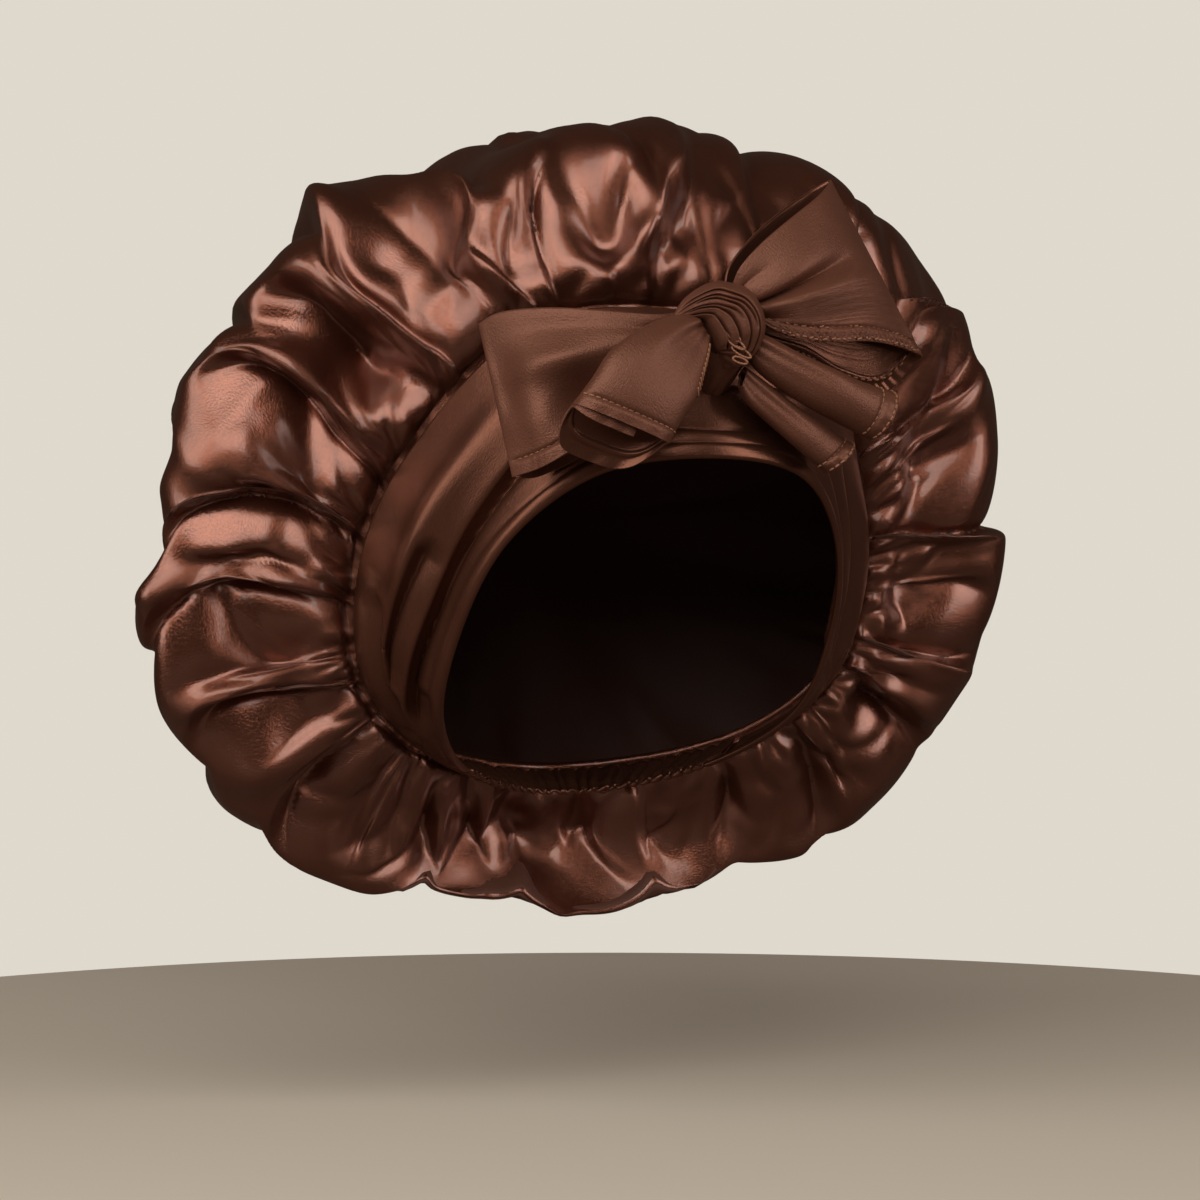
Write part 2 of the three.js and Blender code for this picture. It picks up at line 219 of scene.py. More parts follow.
seamLine = bothSides(table(
    "angle x y z",
    (0, 0, -66, 116), (30, -58, -52, 110), (60, -93, -8, 64), (90, -106, 14, 22),
    (120, -100, 31, -22), (150, -65, 61, -52), (180, 0, 92, -64)))
openingLine = bothSides(table(
    "angle x y z",
    (0, 0, -86, 60), (30, -40, -74, 54), (60, -66, -48, 30), (90, -76, -20, -4),
    (120, -73, 12, -38), (150, -46, 55, -62), (180, 0, 80, -72)))
widestLine = table(
    "angle reach y",
    (4, 154, 22), (18, 153, 22), (38, 163, 23), (60, 172, 26), (70, 178, 29), (88, 175, 34),
    (103, 190, 44), (121, 192, 62), (134, 192, 70), (149, 182, 78), (165, 169, 82), (186, 168, 83),
    (206, 174, 82),
    (220, 188, 76), (237, 186, 66), (256, 185, 46), (276, 178, 32), (295, 178, 28), (318, 164, 24),
    (340, 151, 22))
crownShape = {
    "middleZ": 47, "backY": 168, "backZ": 42, "bulge": 12, "napeSag": 20,
    "frontShare": 0.4,  # share of the way from the seam to the middle of the back where the rim lies
    "wayLength": 260,  # that way in mm, for the lengths of bumps
    "roll": 4.2, "rollAt": 0.032,  # puff of the cloth beside the seam
    "groove": 2.2, "grooveReach": 0.010, "setOff": 1.2,  # how the seam lies behind and outside the band
    "tuckIn": 5.0, "tuckBack": 2.6,  # the raw edge, tucked behind the band
    "seamDepth": 0.20, "fullDepth": 1.9,  # folds are shallow at the seam and soon have their full depth
    "wall": 1.0, "columns": 880, "frontRows": 54, "backRows": 28, "tuckRows": 2, "rowPower": 1.3,
    "leastStep": 0.25, "seed": 11,
}

# Creases of the crown's front, each from the seam or a little way out: its clock angle where it
# starts, half way and where it ends, the shares of the way where that is, its depth, the half widths
# of its sharp and its soft part, and how far its bottom leans to one side
creases = table(
    "first middle last start end deep sharp soft lean",
    (42, 48, 46, 0.00, 0.33, 15, 2.2, 14, 0.9),
    (31, 35, 38, 0.00, 0.18, 8, 2.0, 9, 0.9),
    (26, 30, 33, 0.00, 0.19, 10, 2.0, 10, 1.1),
    (22, 21, 17, 0.00, 0.26, 15, 2.0, 12, 0.8),
    (27, 27, 26, 0.02, 0.20, 5, 1.6, 7, 0.6),
    (13, 12, 6, 0.00, 0.22, 7, 2.2, 9, 0.3),
    (7, 5, 2, 0.00, 0.17, 7, 2.2, 9, 0.5),
    (2, 357, 354, 0.00, 0.30, 9, 3.5, 14, 0.5),
    (49, 61, 61, 0.00, 0.34, 16, 2.0, 14, -1.2),
    (51, 60, 63, 0.00, 0.22, 7, 1.6, 8, -0.9),
    (58, 64, 64, 0.05, 0.36, 6, 1.8, 8, 0.7),
    (55, 57, 58, 0.00, 0.12, 4, 2.0, 6, 0.5),
    (71, 74, 75, 0.00, 0.38, 16, 2.0, 14, -1.2),
    (81, 88, 84, 0.00, 0.26, 7, 2.0, 10, -0.8),
    (86, 93, 96, 0.00, 0.40, 16, 2.0, 13, -1.1),
    (91, 99, 97, 0.04, 0.34, 9, 2.0, 9, -0.8),
    (102, 105, 109, 0.00, 0.42, 16, 2.0, 12, -1.1),
    (109, 110, 113, 0.00, 0.34, 9, 3.0, 9, 0.5),
    (124, 121, 121, 0.00, 0.36, 15, 2.0, 13, -1.1),
    (134, 137, 142, 0.00, 0.42, 13, 2.2, 12, -0.8),
    (141, 144, 148, 0.00, 0.34, 7, 3.0, 9, 0.3),
    (147, 150, 153, 0.00, 0.30, 7, 3.0, 9, 0.3),
    (153, 157, 158, 0.00, 0.42, 12, 3.5, 12, 0.4),
    (163, 166, 170, 0.00, 0.34, 8, 3.0, 10, 0.3),
    (172, 176, 177, 0.00, 0.40, 9, 3.0, 11, -0.3),
    (184, 186, 192, 0.00, 0.36, 8, 3.0, 10, 0.3),
    (196, 198, 200, 0.00, 0.40, 9, 3.0, 11, -0.3),
    (208, 207, 204, 0.00, 0.34, 8, 3.0, 10, 0.4),
    (224, 220, 217, 0.00, 0.42, 12, 3.5, 12, 0.5),
    (232, 229, 228, 0.00, 0.28, 7, 3.0, 9, -0.4),
    (242, 235, 237, 0.00, 0.38, 12, 2.0, 12, 0.9),
    (246, 244, 243, 0.00, 0.18, 6, 2.5, 7, 0.4),
    (254, 253, 251, 0.00, 0.36, 12, 2.0, 11, -0.9),
    (261, 260, 257, 0.00, 0.34, 8, 2.5, 9, 0.5),
    (266, 264, 262, 0.00, 0.26, 6, 2.5, 7, -0.4),
    (272, 268, 268, 0.00, 0.22, 5, 2.5, 7, 0.4),
    (281, 274, 270, 0.00, 0.42, 15, 2.0, 13, -1.1),
    (290, 286, 284, 0.00, 0.24, 7, 2.5, 9, 0.5),
    (303, 296, 295, 0.00, 0.34, 11, 2.0, 11, -0.8),
    (318, 308, 297, 0.12, 0.42, 14, 2.4, 14, -1.0),
    (318, 322, 325, 0.00, 0.36, 10, 3.0, 13, 0.6),
    (333, 334, 337, 0.00, 0.30, 8, 3.0, 12, -0.4),
    (344, 343, 341, 0.00, 0.40, 9, 3.5, 13, 0.5),
)

# Deep folds that come over the crown's rim from behind: clock angle at the front end, at the rim and
# at the back end, and the rest as for the creases
rimFolds = table(
    "first middle last start end deep sharp soft lean",
    (28, 32, 34, 0.16, 0.74, 15, 5, 17, 0.5),
    (51, 54, 56, 0.20, 0.70, 14, 5, 16, -0.5),
    (66, 68, 67, 0.22, 0.78, 15, 5, 17, -0.6),
    (82, 83, 85, 0.34, 0.66, 6, 5, 14, 0.3),
    (96, 98, 99, 0.30, 0.80, 12, 5, 15, 0.5),
    (108, 112, 114, 0.32, 0.70, 11, 5, 14, -0.5),
    (124, 123, 124, 0.30, 0.60, 7, 5, 14, 0.5),
    (132, 139, 142, 0.28, 0.78, 13, 5, 16, 0.4),
    (157, 158, 160, 0.30, 0.74, 14, 5, 16, 0.3),
    (172, 175, 177, 0.30, 0.82, 11, 5, 17, 0.2),
    (194, 194, 192, 0.30, 0.70, 13, 5, 18, 0.2),
    (208, 205, 206, 0.30, 0.62, 8, 5, 14, -0.3),
    (222, 218, 216, 0.28, 0.80, 14, 5, 16, -0.4),
    (240, 237, 236, 0.30, 0.68, 12, 5, 15, -0.6),
    (254, 252, 251, 0.30, 0.78, 11, 5, 14, -0.6),
    (272, 269, 268, 0.30, 0.74, 15, 5, 15, -0.6),
    (292, 294, 295, 0.26, 0.80, 16, 5, 18, -0.6),
    (326, 325, 324, 0.22, 0.76, 14, 5, 18, 0.4),
    (343, 341, 340, 0.26, 0.62, 8, 5, 15, 0.3),
    (0, 356, 355, 0.22, 0.72, 11, 5, 17, 0.4),
    (6, 8, 10, 0.16, 0.66, 11, 4, 13, 0.8),
    (19, 20, 20, 0.24, 0.56, 5, 4, 13, -0.6),
)

# Soft bumps and hollows of the cloth between the creases: where each lies, how its long way turns
# from the crown's own lengthwise way, its half length and half width, and its height
swellings = table(
    "angle share turn long wide high",
    (47, 0.30, -4, 34, 6, 7.0), (33, 0.22, 0, 34, 6, 6.0), (40, 0.24, 0, 34, 12, -9.0),
    (70, 0.33, 0, 16, 8, 4.0), (101, 0.34, 0, 16, 6, 4.0), (15.5, 0.10, 5, 28, 5, -8.0),
    (9, 0.08, -32, 20, 3.6, 6.0), (0, 0.18, -38, 18, 5, 4.0), (3, 0.07, -30, 16, 4, -4.5),
    (18.5, 0.19, 10, 14, 3.5, 4.0), (26, 0.10, 8, 26, 5, -3.0), (31, 0.13, 5, 24, 5, 3.0),
    (52, 0.12, 25, 17, 7, 3.5), (54, 0.23, 10, 26, 14, 2.5), (38, 0.18, -15, 16, 7, -3.0),
    (34, 0.10, 15, 12, 5, 2.5), (24, 0.16, 0, 26, 12, 3.0), (11, 0.19, -20, 14, 6, 3.0),
    (14, 0.08, 10, 12, 4, -2.5), (9, 0.15, 25, 17, 5, 3.5), (1, 0.17, -15, 15, 12, 3.0),
    (66, 0.20, 12, 30, 13, 3.0), (65, 0.08, -10, 10, 5, 2.5), (79, 0.20, 10, 20, 9, 3.5),
    (78, 0.11, -12, 18, 7, -3.5), (88, 0.12, 5, 22, 7, 3.5), (90, 0.24, 0, 18, 9, -2.5),
    (98, 0.22, 8, 16, 5, 2.5), (106, 0.26, -15, 8, 4, 3.0), (116, 0.20, 10, 22, 9, 3.0),
    (115, 0.08, 20, 14, 6, -2.5), (128, 0.18, -10, 22, 9, 4.0), (129, 0.30, 10, 22, 12, -2.5),
    (139, 0.13, 12, 16, 5, 2.0), (160, 0.16, 0, 20, 7, 2.5), (230, 0.16, 10, 18, 7, 3.0),
    (248, 0.24, -12, 16, 8, 3.5), (258, 0.13, 15, 12, 5, -3.0), (268, 0.10, -10, 9, 4, 3.0),
    (277, 0.22, 12, 18, 9, 3.0), (284, 0.13, -15, 14, 6, -3.0), (290, 0.24, 10, 16, 9, 3.0),
    (303, 0.17, -20, 18, 8, 3.5), (313, 0.25, 15, 16, 9, -3.0), (330, 0.20, 10, 18, 10, 3.0),
)
# The same again, small and all over the crown
dimples = {
    "count": 110, "shares": (0.04, 0.85), "long": (12, 30), "wide": (3.5, 8), "high": (0.8, 2.6),
    "turn": 24, "seed": 21,
}

# Pinches of the gathering thread, from which short folds fan out: clock angle, number of folds, how
# far apart they start and end in degrees, the share that they reach, and their depth
pinches = table(
    "angle folds near far reach deep",
    (62, 5, 2.5, 9, 0.085, 3.2), (50, 4, 3, 8, 0.10, 3.0), (79, 5, 3, 9, 0.09, 3.0),
    (90, 4, 2.5, 8, 0.08, 3.0), (99, 4, 2, 6, 0.06, 2.4), (112, 6, 5, 10, 0.08, 2.6),
    (121, 5, 4, 9, 0.07, 2.6), (131, 6, 5, 9, 0.10, 3.0), (146, 6, 6, 10, 0.11, 3.0),
    (160, 6, 6, 10, 0.09, 2.6), (176, 6, 6, 9, 0.08, 2.4), (192, 6, 6, 9, 0.08, 2.4),
    (206, 6, 6, 9, 0.08, 2.4), (219, 5, 4, 8, 0.09, 2.8), (230, 4, 3, 8, 0.09, 2.8),
    (238, 4, 3, 7, 0.07, 2.6), (249, 5, 3, 8, 0.08, 2.8), (257, 4, 2.5, 6, 0.07, 2.8),
    (264, 4, 2, 6, 0.06, 2.8), (271, 5, 2.5, 7, 0.07, 2.8), (278, 4, 2, 6, 0.06, 2.8),
    (286, 5, 3, 8, 0.08, 2.8), (297, 4, 3, 8, 0.09, 2.8), (310, 4, 3, 8, 0.08, 2.6),
    (324, 4, 3, 8, 0.08, 2.6), (337, 4, 3, 8, 0.08, 2.6), (350, 4, 3, 8, 0.08, 2.6),
    (5, 4, 3, 7, 0.07, 2.6), (13, 4, 3, 7, 0.06, 2.4), (22, 4, 2.5, 7, 0.07, 2.6),
    (33, 4, 3, 8, 0.08, 2.6),
)
# Long thin folds that run out from the seam between the creases, fewer of them over the forehead
runs = {
    "count": 170, "start": (0.0, 0.06), "long": (0.08, 0.32), "deep": (1.5, 4.6), "sharp": (1.1, 2.0),
    "soft": (3.5, 8.0), "lean": 1.0, "leanShare": 0.55, "drift": 7.0,
    "sparse": (5, 38), "sparseShare": 0.30, "seed": 8,
}
# Small gathers all along the seam
gathers = {"count": 130, "deep": (0.4, 1.3), "wide": (1.4, 2.4), "reach": (0.03, 0.08), "drift": 1.6}
# Broad soft waves all over it: their number, height and length
softWaves = {"count": 26, "height": 0.45, "lengths": (38, 110), "seed": 5}


# The smooth bag, and the way that its cloth faces
def crownBase(angle, share):
    s = crownShape
    away = outward(angle)
    seam = pointOn(seamLine, angle) + away * s["setOff"]
    rim = away * aroundTable(widestLine, "reach", angle)[..., None]
    rim[..., 2] += s["middleZ"]
    rim[..., 1] = aroundTable(widestLine, "y", angle)
    quarter = np.clip(share / s["frontShare"], 0, 1) * math.pi / 2
    bulge = s["bulge"] - s["napeSag"] * ((1 - np.cos(np.radians(angle))) / 2) ** 3
    front = seam + (rim - seam) * np.sin(quarter)[..., None]
    depth = (rim[..., 1] - seam[..., 1]) * (1 - np.cos(quarter))
    front[..., 1] = seam[..., 1] + depth - bulge * np.sin(2 * quarter)
    facing = away * np.sin(quarter)[..., None]
    facing[..., 1] = -np.cos(quarter)
    turn = np.clip((share - s["frontShare"]) / (1 - s["frontShare"]), 0, 1) * math.pi / 2
    shrink = np.maximum(np.cos(turn), 0) ** 0.9
    middle = s["middleZ"] + (s["backZ"] - s["middleZ"]) * np.sin(turn)
    back = np.stack([
        rim[..., 0] * shrink,
        rim[..., 1] + (s["backY"] - rim[..., 1]) * np.sin(turn),
        middle + (rim[..., 2] - middle) * shrink], -1)
    facingBack = away * np.cos(turn)[..., None]
    facingBack[..., 1] = np.sin(turn)
    ahead = (share <= s["frontShare"])[..., None]
    return np.where(ahead, front, back), np.where(ahead, facing, facingBack)


def drawRuns():
    r = runs
    draw = random.Random(r["seed"])
    rows = []
    for k in range(r["count"]):
        first = (k + draw.uniform(-0.45, 0.45)) * 360 / r["count"]
        start, long = draw.uniform(*r["start"]), draw.uniform(*r["long"])
        middle, last = (first + draw.uniform(-1, 1) * r["drift"] * long * size for size in (2.2, 4))
        deep, sharp, soft = (draw.uniform(*r[name]) for name in ("deep", "sharp", "soft"))
        lean = draw.uniform(-1, 1) * min(r["lean"], r["leanShare"] * soft / deep)
        row = (first, middle, last, start if k % 3 == 0 else 0.0, start + long, deep, sharp, soft, lean)
        kept = draw.random() > r["sparseShare"]
        if kept or not r["sparse"][0] < first % 360 < r["sparse"][1]:
            rows.append(row)
    return rows


def soften(values):
    return (np.roll(values, 1, 0) + 2 * values + np.roll(values, -1, 0)) / 4


# Keeps neighbouring columns of the crown in order where a fold pushes them over each other
def keepOrder(angle, aside, perDegree):
    rows = len(angle)
    place = angle + aside / perDegree
    ring = np.concatenate([place - 360, place, place + 360])
    least = crownShape["leastStep"] * 360 / rows * np.arange(len(ring))[:, None]
    forward = np.maximum.accumulate(ring - least, 0) + least
    backward = np.minimum.accumulate((ring - least)[::-1], 0)[::-1] + least
    ordered = (forward + backward)[rows:2 * rows] / 2
    return (ordered - angle) * perDegree


# How far the long folds push the cloth in and aside
def foldPush(angle, share, perDegree):
    s = crownShape
    front = np.clip(share / s["frontShare"], 0, 1)
    rise = np.sin(np.clip(front * s["fullDepth"], 0, 1) * math.pi / 2)
    rise = s["seamDepth"] + (1 - s["seamDepth"]) * rise
    inwards, aside = np.zeros_like(share), np.zeros_like(share)
    folds = [*eachRow(creases), *eachRow(rimFolds), *drawRuns()]
    for first, middle, last, start, end, deep, sharp, soft, lean in folds:
        t = np.clip((share - start) / (end - start), 0, 1)
        toMiddle, toLast = angleFrom(middle, first), angleFrom(last, first)
        centre = first + t * (4 * toMiddle - toLast) + t * t * (2 * toLast - 4 * toMiddle)
        begin = 1 if start == 0 else smooth(t, 0, 0.35)
        grow = 0.55 + 0.45 * smooth(t, 0, 0.5)
        push = deep * rise * begin * (1 - smooth(t, 0.62, 1))
        distance = angleFrom(angle, centre) * perDegree
        inwards += push * foldSection(distance, sharp * grow, soft * grow, lean)
        aside += lean * push * bell(distance, 0.7 * soft * grow)
    return inwards, aside


def pinchPush(angle, share, perDegree):
    inwards = np.zeros_like(share)
    for at, folds, near, far, reach, deep in eachRow(pinches):
        for i in range(int(folds)):
            place = i / (folds - 1) - 0.5
            length = reach * (1 - 0.35 * abs(place) - 0.25 * (i % 2))
            gone = np.clip(share / length, 0, 1)
            centre = at + place * (near + (far - near) * gone)
            distance = angleFrom(angle, centre) * perDegree
            envelope = (0.45 + 0.55 * smooth(gone, 0, 0.3)) * (1 - smooth(gone, 0.4, 1))
            inwards += deep * envelope * bell(distance, 1.1 + 1.2 * gone, 1.5)
    return inwards


def gatherPush(angle, share, perDegree):
    g = gathers
    inwards = np.zeros_like(share)
    draw = random.Random(crownShape["seed"])
    for k in range(g["count"]):
        seam = (k + draw.uniform(-0.38, 0.38)) * 360 / g["count"]
        drift = draw.uniform(-1, 1) * g["drift"]
        deep, wide = draw.uniform(*g["deep"]), draw.uniform(*g["wide"])
        gone = np.clip(share / draw.uniform(*g["reach"]), 0, 1)
        distance = angleFrom(angle, seam + drift * gone) * perDegree
        inwards += deep * (0.5 + 0.5 * smooth(gone, 0, 0.3)) * (1 - gone ** 2) * bell(distance, wide)
    return inwards


# Height of the bumps, dimples and soft waves
def swellHeight(point, angle, share, perDegree):
    swell = np.zeros_like(share)

    def bump(at, far, turn, long, wide, high):
        across = angleFrom(angle, at) * perDegree
        along = (share - far) * crownShape["wayLength"]
        t = math.radians(turn)
        u = across * math.cos(t) - along * math.sin(t)
        v = across * math.sin(t) + along * math.cos(t)
        return high * bell(u, wide) * bell(v, long)

    for row in eachRow(swellings):
        swell += bump(*row)
    d = dimples
    scatter = random.Random(d["seed"])
    for _ in range(d["count"]):
        swell += bump(
            scatter.uniform(0, 360), scatter.uniform(*d["shares"]), scatter.uniform(-1, 1) * d["turn"],
            scatter.uniform(*d["long"]), scatter.uniform(*d["wide"]),
            scatter.uniform(*d["high"]) * scatter.choice((-1, 1)))
    waves = random.Random(softWaves["seed"])
    for _ in range(softWaves["count"]):
        length = waves.uniform(*softWaves["lengths"])
        way = unit(np.array([waves.gauss(0, 1) for _ in "xyz"]))
        phase = waves.uniform(0, 2 * math.pi)
        swell += softWaves["height"] * np.sin(point @ way * 2 * math.pi / length + phase) * (length / 70)
    return swell


def crownSheet(angle, share):
    s = crownShape
    point, facing = crownBase(angle, share)
    fromMiddle = np.hypot(point[..., 0], point[..., 2] - s["middleZ"])
    perDegree = np.maximum(fromMiddle, 20) * math.pi / 180
    inwards, aside = foldPush(angle, share, perDegree)
    inwards += pinchPush(angle, share, perDegree)
    inwards += gatherPush(angle, share, perDegree)
    inwards = soften(inwards) + s["groove"] * bell(share, s["grooveReach"])
    aside = keepOrder(angle, soften(aside), perDegree)
    swell = swellHeight(point, angle, share, perDegree) * smooth(share, 0.01, 0.09)
    swell += s["roll"] * share / s["rollAt"] * np.exp(1 - share / s["rollAt"])
    turn = np.radians(angle)
    along = np.stack([-np.cos(turn), 0 * turn, -np.sin(turn)], -1)
    return point - facing * (inwards - swell)[..., None] + along * aside[..., None]


def tuckedEdge(angle, rows):
    s = crownShape
    away = outward(angle)
    inside = pointOn(seamLine, angle) + away * (s["setOff"] - s["tuckIn"] * rows)[..., None]
    inside[..., 1] += s["tuckBack"] * np.sqrt(rows)
    return inside


# Rows of the crown's grid, closer together near the seam
def gridShares():
    s = crownShape
    split = s["frontShare"]
    front = split * np.linspace(0, 1, s["frontRows"]) ** s["rowPower"]
    behind = split + (1 - split) * np.linspace(0, 1, s["backRows"] + 1)[1:-1]
    return np.concatenate([front, behind])


def makeCrown():
    s = crownShape
    angles = np.arange(s["columns"]) * 360 / s["columns"]
    shares = gridShares()
    angle, share = grid(angles, shares)
    tuckAngle, tuckShare = grid(angles, np.linspace(1, 0, s["tuckRows"] + 1)[:-1])
    outer = np.concatenate([tuckedEdge(tuckAngle, tuckShare), crownSheet(angle, share)], 1)
    normals = ringNormals(outer)
    flip = normals[:, -5, 1].mean() < 0  # rows near the back face +Y
    if flip:
        normals = -normals
    inner = (outer - normals * s["wall"])[::2, ::2]  # the wall's inside has every other point only
    rows, columns = outer.shape[:2]
    innerRows, innerColumns = inner.shape[:2]
    first = rows * columns
    pole = first + innerRows * innerColumns
    back = np.array([[0, s["backY"], s["backZ"]], [0, s["backY"] - s["wall"], s["backZ"]]])
    back[:, 1] += outer[:, -1, 1].mean() - crownBase(np.zeros(1), shares[-1:])[0][0, 1]
    vertices = np.concatenate([outer.reshape(-1, 3), inner.reshape(-1, 3), back])
    faces = gridFaces(rows, columns, ring=True, flip=flip)
    faces += gridFaces(innerRows, innerColumns, ring=True, start=first, flip=not flip)
    caps = []
    for i in range(rows):
        a, b = i * columns, (i + 1) % rows * columns
        caps.append((a + columns - 1, b + columns - 1, pole))
    for i in range(innerRows):
        a, b = first + i * innerColumns, first + (i + 1) % innerRows * innerColumns
        caps.append((b + innerColumns - 1, a + innerColumns - 1, pole + 1))
        o0, o1, o2 = 2 * i * columns, (2 * i + 1) * columns, (2 * i + 2) % rows * columns
        caps += [(o0, a, o1), (o1, a, b), (o1, b, o2)]
    faces += [face[::-1] for face in caps] if flip else caps
    steps = np.linalg.norm(np.diff(outer, axis=1, append=outer[:, -1:]), axis=-1)
    radius = steps[:, ::-1].cumsum(1)[:, ::-1]
    turn = np.radians(angles)[:, None]
    uvs = np.stack([radius * np.cos(turn), radius * np.sin(turn)], -1)
    uvs = np.concatenate([uvs.reshape(-1, 2), uvs[::2, ::2].reshape(-1, 2), np.zeros((2, 2))])
    piece = newPiece("satin_crown", vertices, faces, uvs)
    inside = [min(face) >= first and pole not in face for face in faces]
    piece.data.polygons.foreach_set("material_index", np.array(inside, dtype=np.int32))
    return piece, radius[:, 0].mean()


# The band and the casing at the nape

bandShape = {
    "end": 146, "bulge": 5, "gap": 0.5, "wall": 1.5, "along": 520, "across": 72,
    "casingWide": 5.0, "casingHigh": 0.9, "grooveDeep": 0.5, "grooveWide": 0.9,
}
# Lengthwise folds of the band: clock angles where they start and end, how far across they lie at
# the start, half way and at the end, their depth, the half widths of their sharp and soft part,
# and how far the cloth beside them laps over
bandFolds = table(
    "start end first middle last deep sharp soft lean",
    (30, 132, 0.30, 0.15, 0.34, 7.0, 1.2, 6.5, -0.9),
    (70, 120, 0.38, 0.44, 0.60, 5.0, 1.2, 5.0, -0.9),
    (92, 138, 0.74, 0.70, 0.52, 5.0, 1.4, 6.0, 0.8),
    (112, 146, 0.16, 0.20, 0.34, 3.5, 1.4, 4.0, 0.5),
    (116, 146, 0.56, 0.54, 0.58, 3.0, 1.4, 4.0, 0.5),
    (-20, 20, 0.24, 0.22, 0.26, 3.4, 2.0, 6.0, 0.6),
    (-26, 28, 0.50, 0.46, 0.52, 2.4, 2.5, 7.0, 0.4),
    (-104, -24, 0.20, 0.06, 0.16, 3.2, 1.4, 4.0, 0.7),
    (-112, -32, 0.34, 0.19, 0.28, 3.0, 1.4, 4.5, 0.7),
    (-122, -40, 0.52, 0.33, 0.44, 3.0, 1.6, 5.0, 0.7),
    (-146, -112, 0.40, 0.30, 0.20, 3.0, 1.4, 4.0, 0.5),
    (-146, -104, 0.66, 0.60, 0.62, 3.0, 1.4, 4.0, -0.5),
)
# Broad raised stretches of it, in the same columns
bandCrests = table(
    "start end first middle last high soft",
    (34, 110, 0.60, 0.50, 0.50, 5.0, 8),
    (88, 134, 0.84, 0.84, 0.72, 2.6, 5),
    (-118, -44, 0.70, 0.56, 0.62, 2.0, 8),
)


def throughThree(first, middle, last, t):
    return first * (1 - t) * (1 - 2 * t) + 4 * middle * t * (1 - t) + last * t * (2 * t - 1)


# The band from its edge (share 0) to its seam, with a stitched casing along the edge
def bandSheet(angle, share):
    s = bandShape
    edge, seam = pointOn(openingLine, angle), pointOn(seamLine, angle)
    length = np.linalg.norm(seam - edge, axis=-1)
    reach = share * (1 - s["gap"] / length)
    facing = unit(outward(angle) + np.array([0, -0.6, 0]))
    narrow = np.sqrt(np.abs(np.cos(np.radians(angle / 2))))
    plain = s["bulge"] * narrow * np.sin(math.pi * reach)
    height, aside = plain.copy(), np.zeros_like(plain)
    for start, end, first, middle, last, deep, sharp, soft, lean in eachRow(bandFolds):
        t = np.clip((angle - start) / (end - start), 0, 1)
        present = smooth(t, 0, 0.14) * (1 - smooth(t, 0.88, 1)) * np.clip(length / 45, 0.35, 1)
        distance = (reach - throughThree(first, middle, last, t)) * length
        height -= deep * present * foldSection(distance, sharp, soft, -lean)
        aside += lean * deep * present * bell(distance, 0.7 * soft)
    for start, end, first, middle, last, high, soft in eachRow(bandCrests):
        t = np.clip((angle - start) / (end - start), 0, 1)
        distance = (reach - throughThree(first, middle, last, t)) * length
        height += high * np.sin(math.pi * t) * bell(distance, soft)
    fromEdge = reach * length
    free = smooth(fromEdge, 0, s["casingWide"] + 3) * (1 - smooth(share, 0.93, 1) * 0.6)
    height = plain * (1 - free) + height * free
    half = s["casingWide"] / 2
    height += s["casingHigh"] * np.sqrt(np.clip(1 - ((fromEdge - half) / half) ** 2, 0, 1))
    height -= s["grooveDeep"] * bell(fromEdge - s["casingWide"], s["grooveWide"])
    flat = edge + (seam - edge) * reach[..., None]
    return flat + facing * height[..., None] - unit(seam - edge) * (aside * free)[..., None]


def makeBand():
    s = bandShape
    angle, share = grid(np.linspace(-s["end"], s["end"], s["along"]), np.linspace(0, 1, s["across"]))
    return clothPiece("wide_band", bandSheet(angle, share), s["wall"])


napeShape = {
    "from": 147.5, "along": 360, "across": 16, "wall": 1.8, "pleats": 26, "ruffle": 2.0, "seed": 3,
}


def makeNapeCasing():
    s = napeShape
    angles = np.linspace(s["from"], 360 - s["from"], s["along"])
    angle, share = grid(angles, np.linspace(0, 1, s["across"]))
    points = bandSheet(angle, share)
    turn = (angle - s["from"]) / (360 - 2 * s["from"]) * s["pleats"] * 2 * math.pi
    draw = random.Random(s["seed"])
    wobble = sum(np.sin(turn * draw.uniform(0.3, 0.8) + draw.uniform(0, 6)) for _ in range(3)) * 0.5
    depth = s["ruffle"] * (0.5 + 0.5 * np.cos(turn + wobble)) * (0.5 + 0.5 * np.sin(math.pi * share))
    return clothPiece("ruched_nape", points - outward(angle) * depth[..., None], s["wall"])


# The bow, measured from the middle of its knot

knotPlace = np.array([3.0, -87.0, 108.0])
ribbonWall = 0.9
# Points of a loop's grid, closer together towards its fold and its hem
loopGrid = {"along": 130, "across": 84, "alongPower": 1.7, "acrossPower": 1.25}
hemShape = {"wide": 5.5, "thick": 0.6, "groove": 1.5, "grooveWide": 0.8}

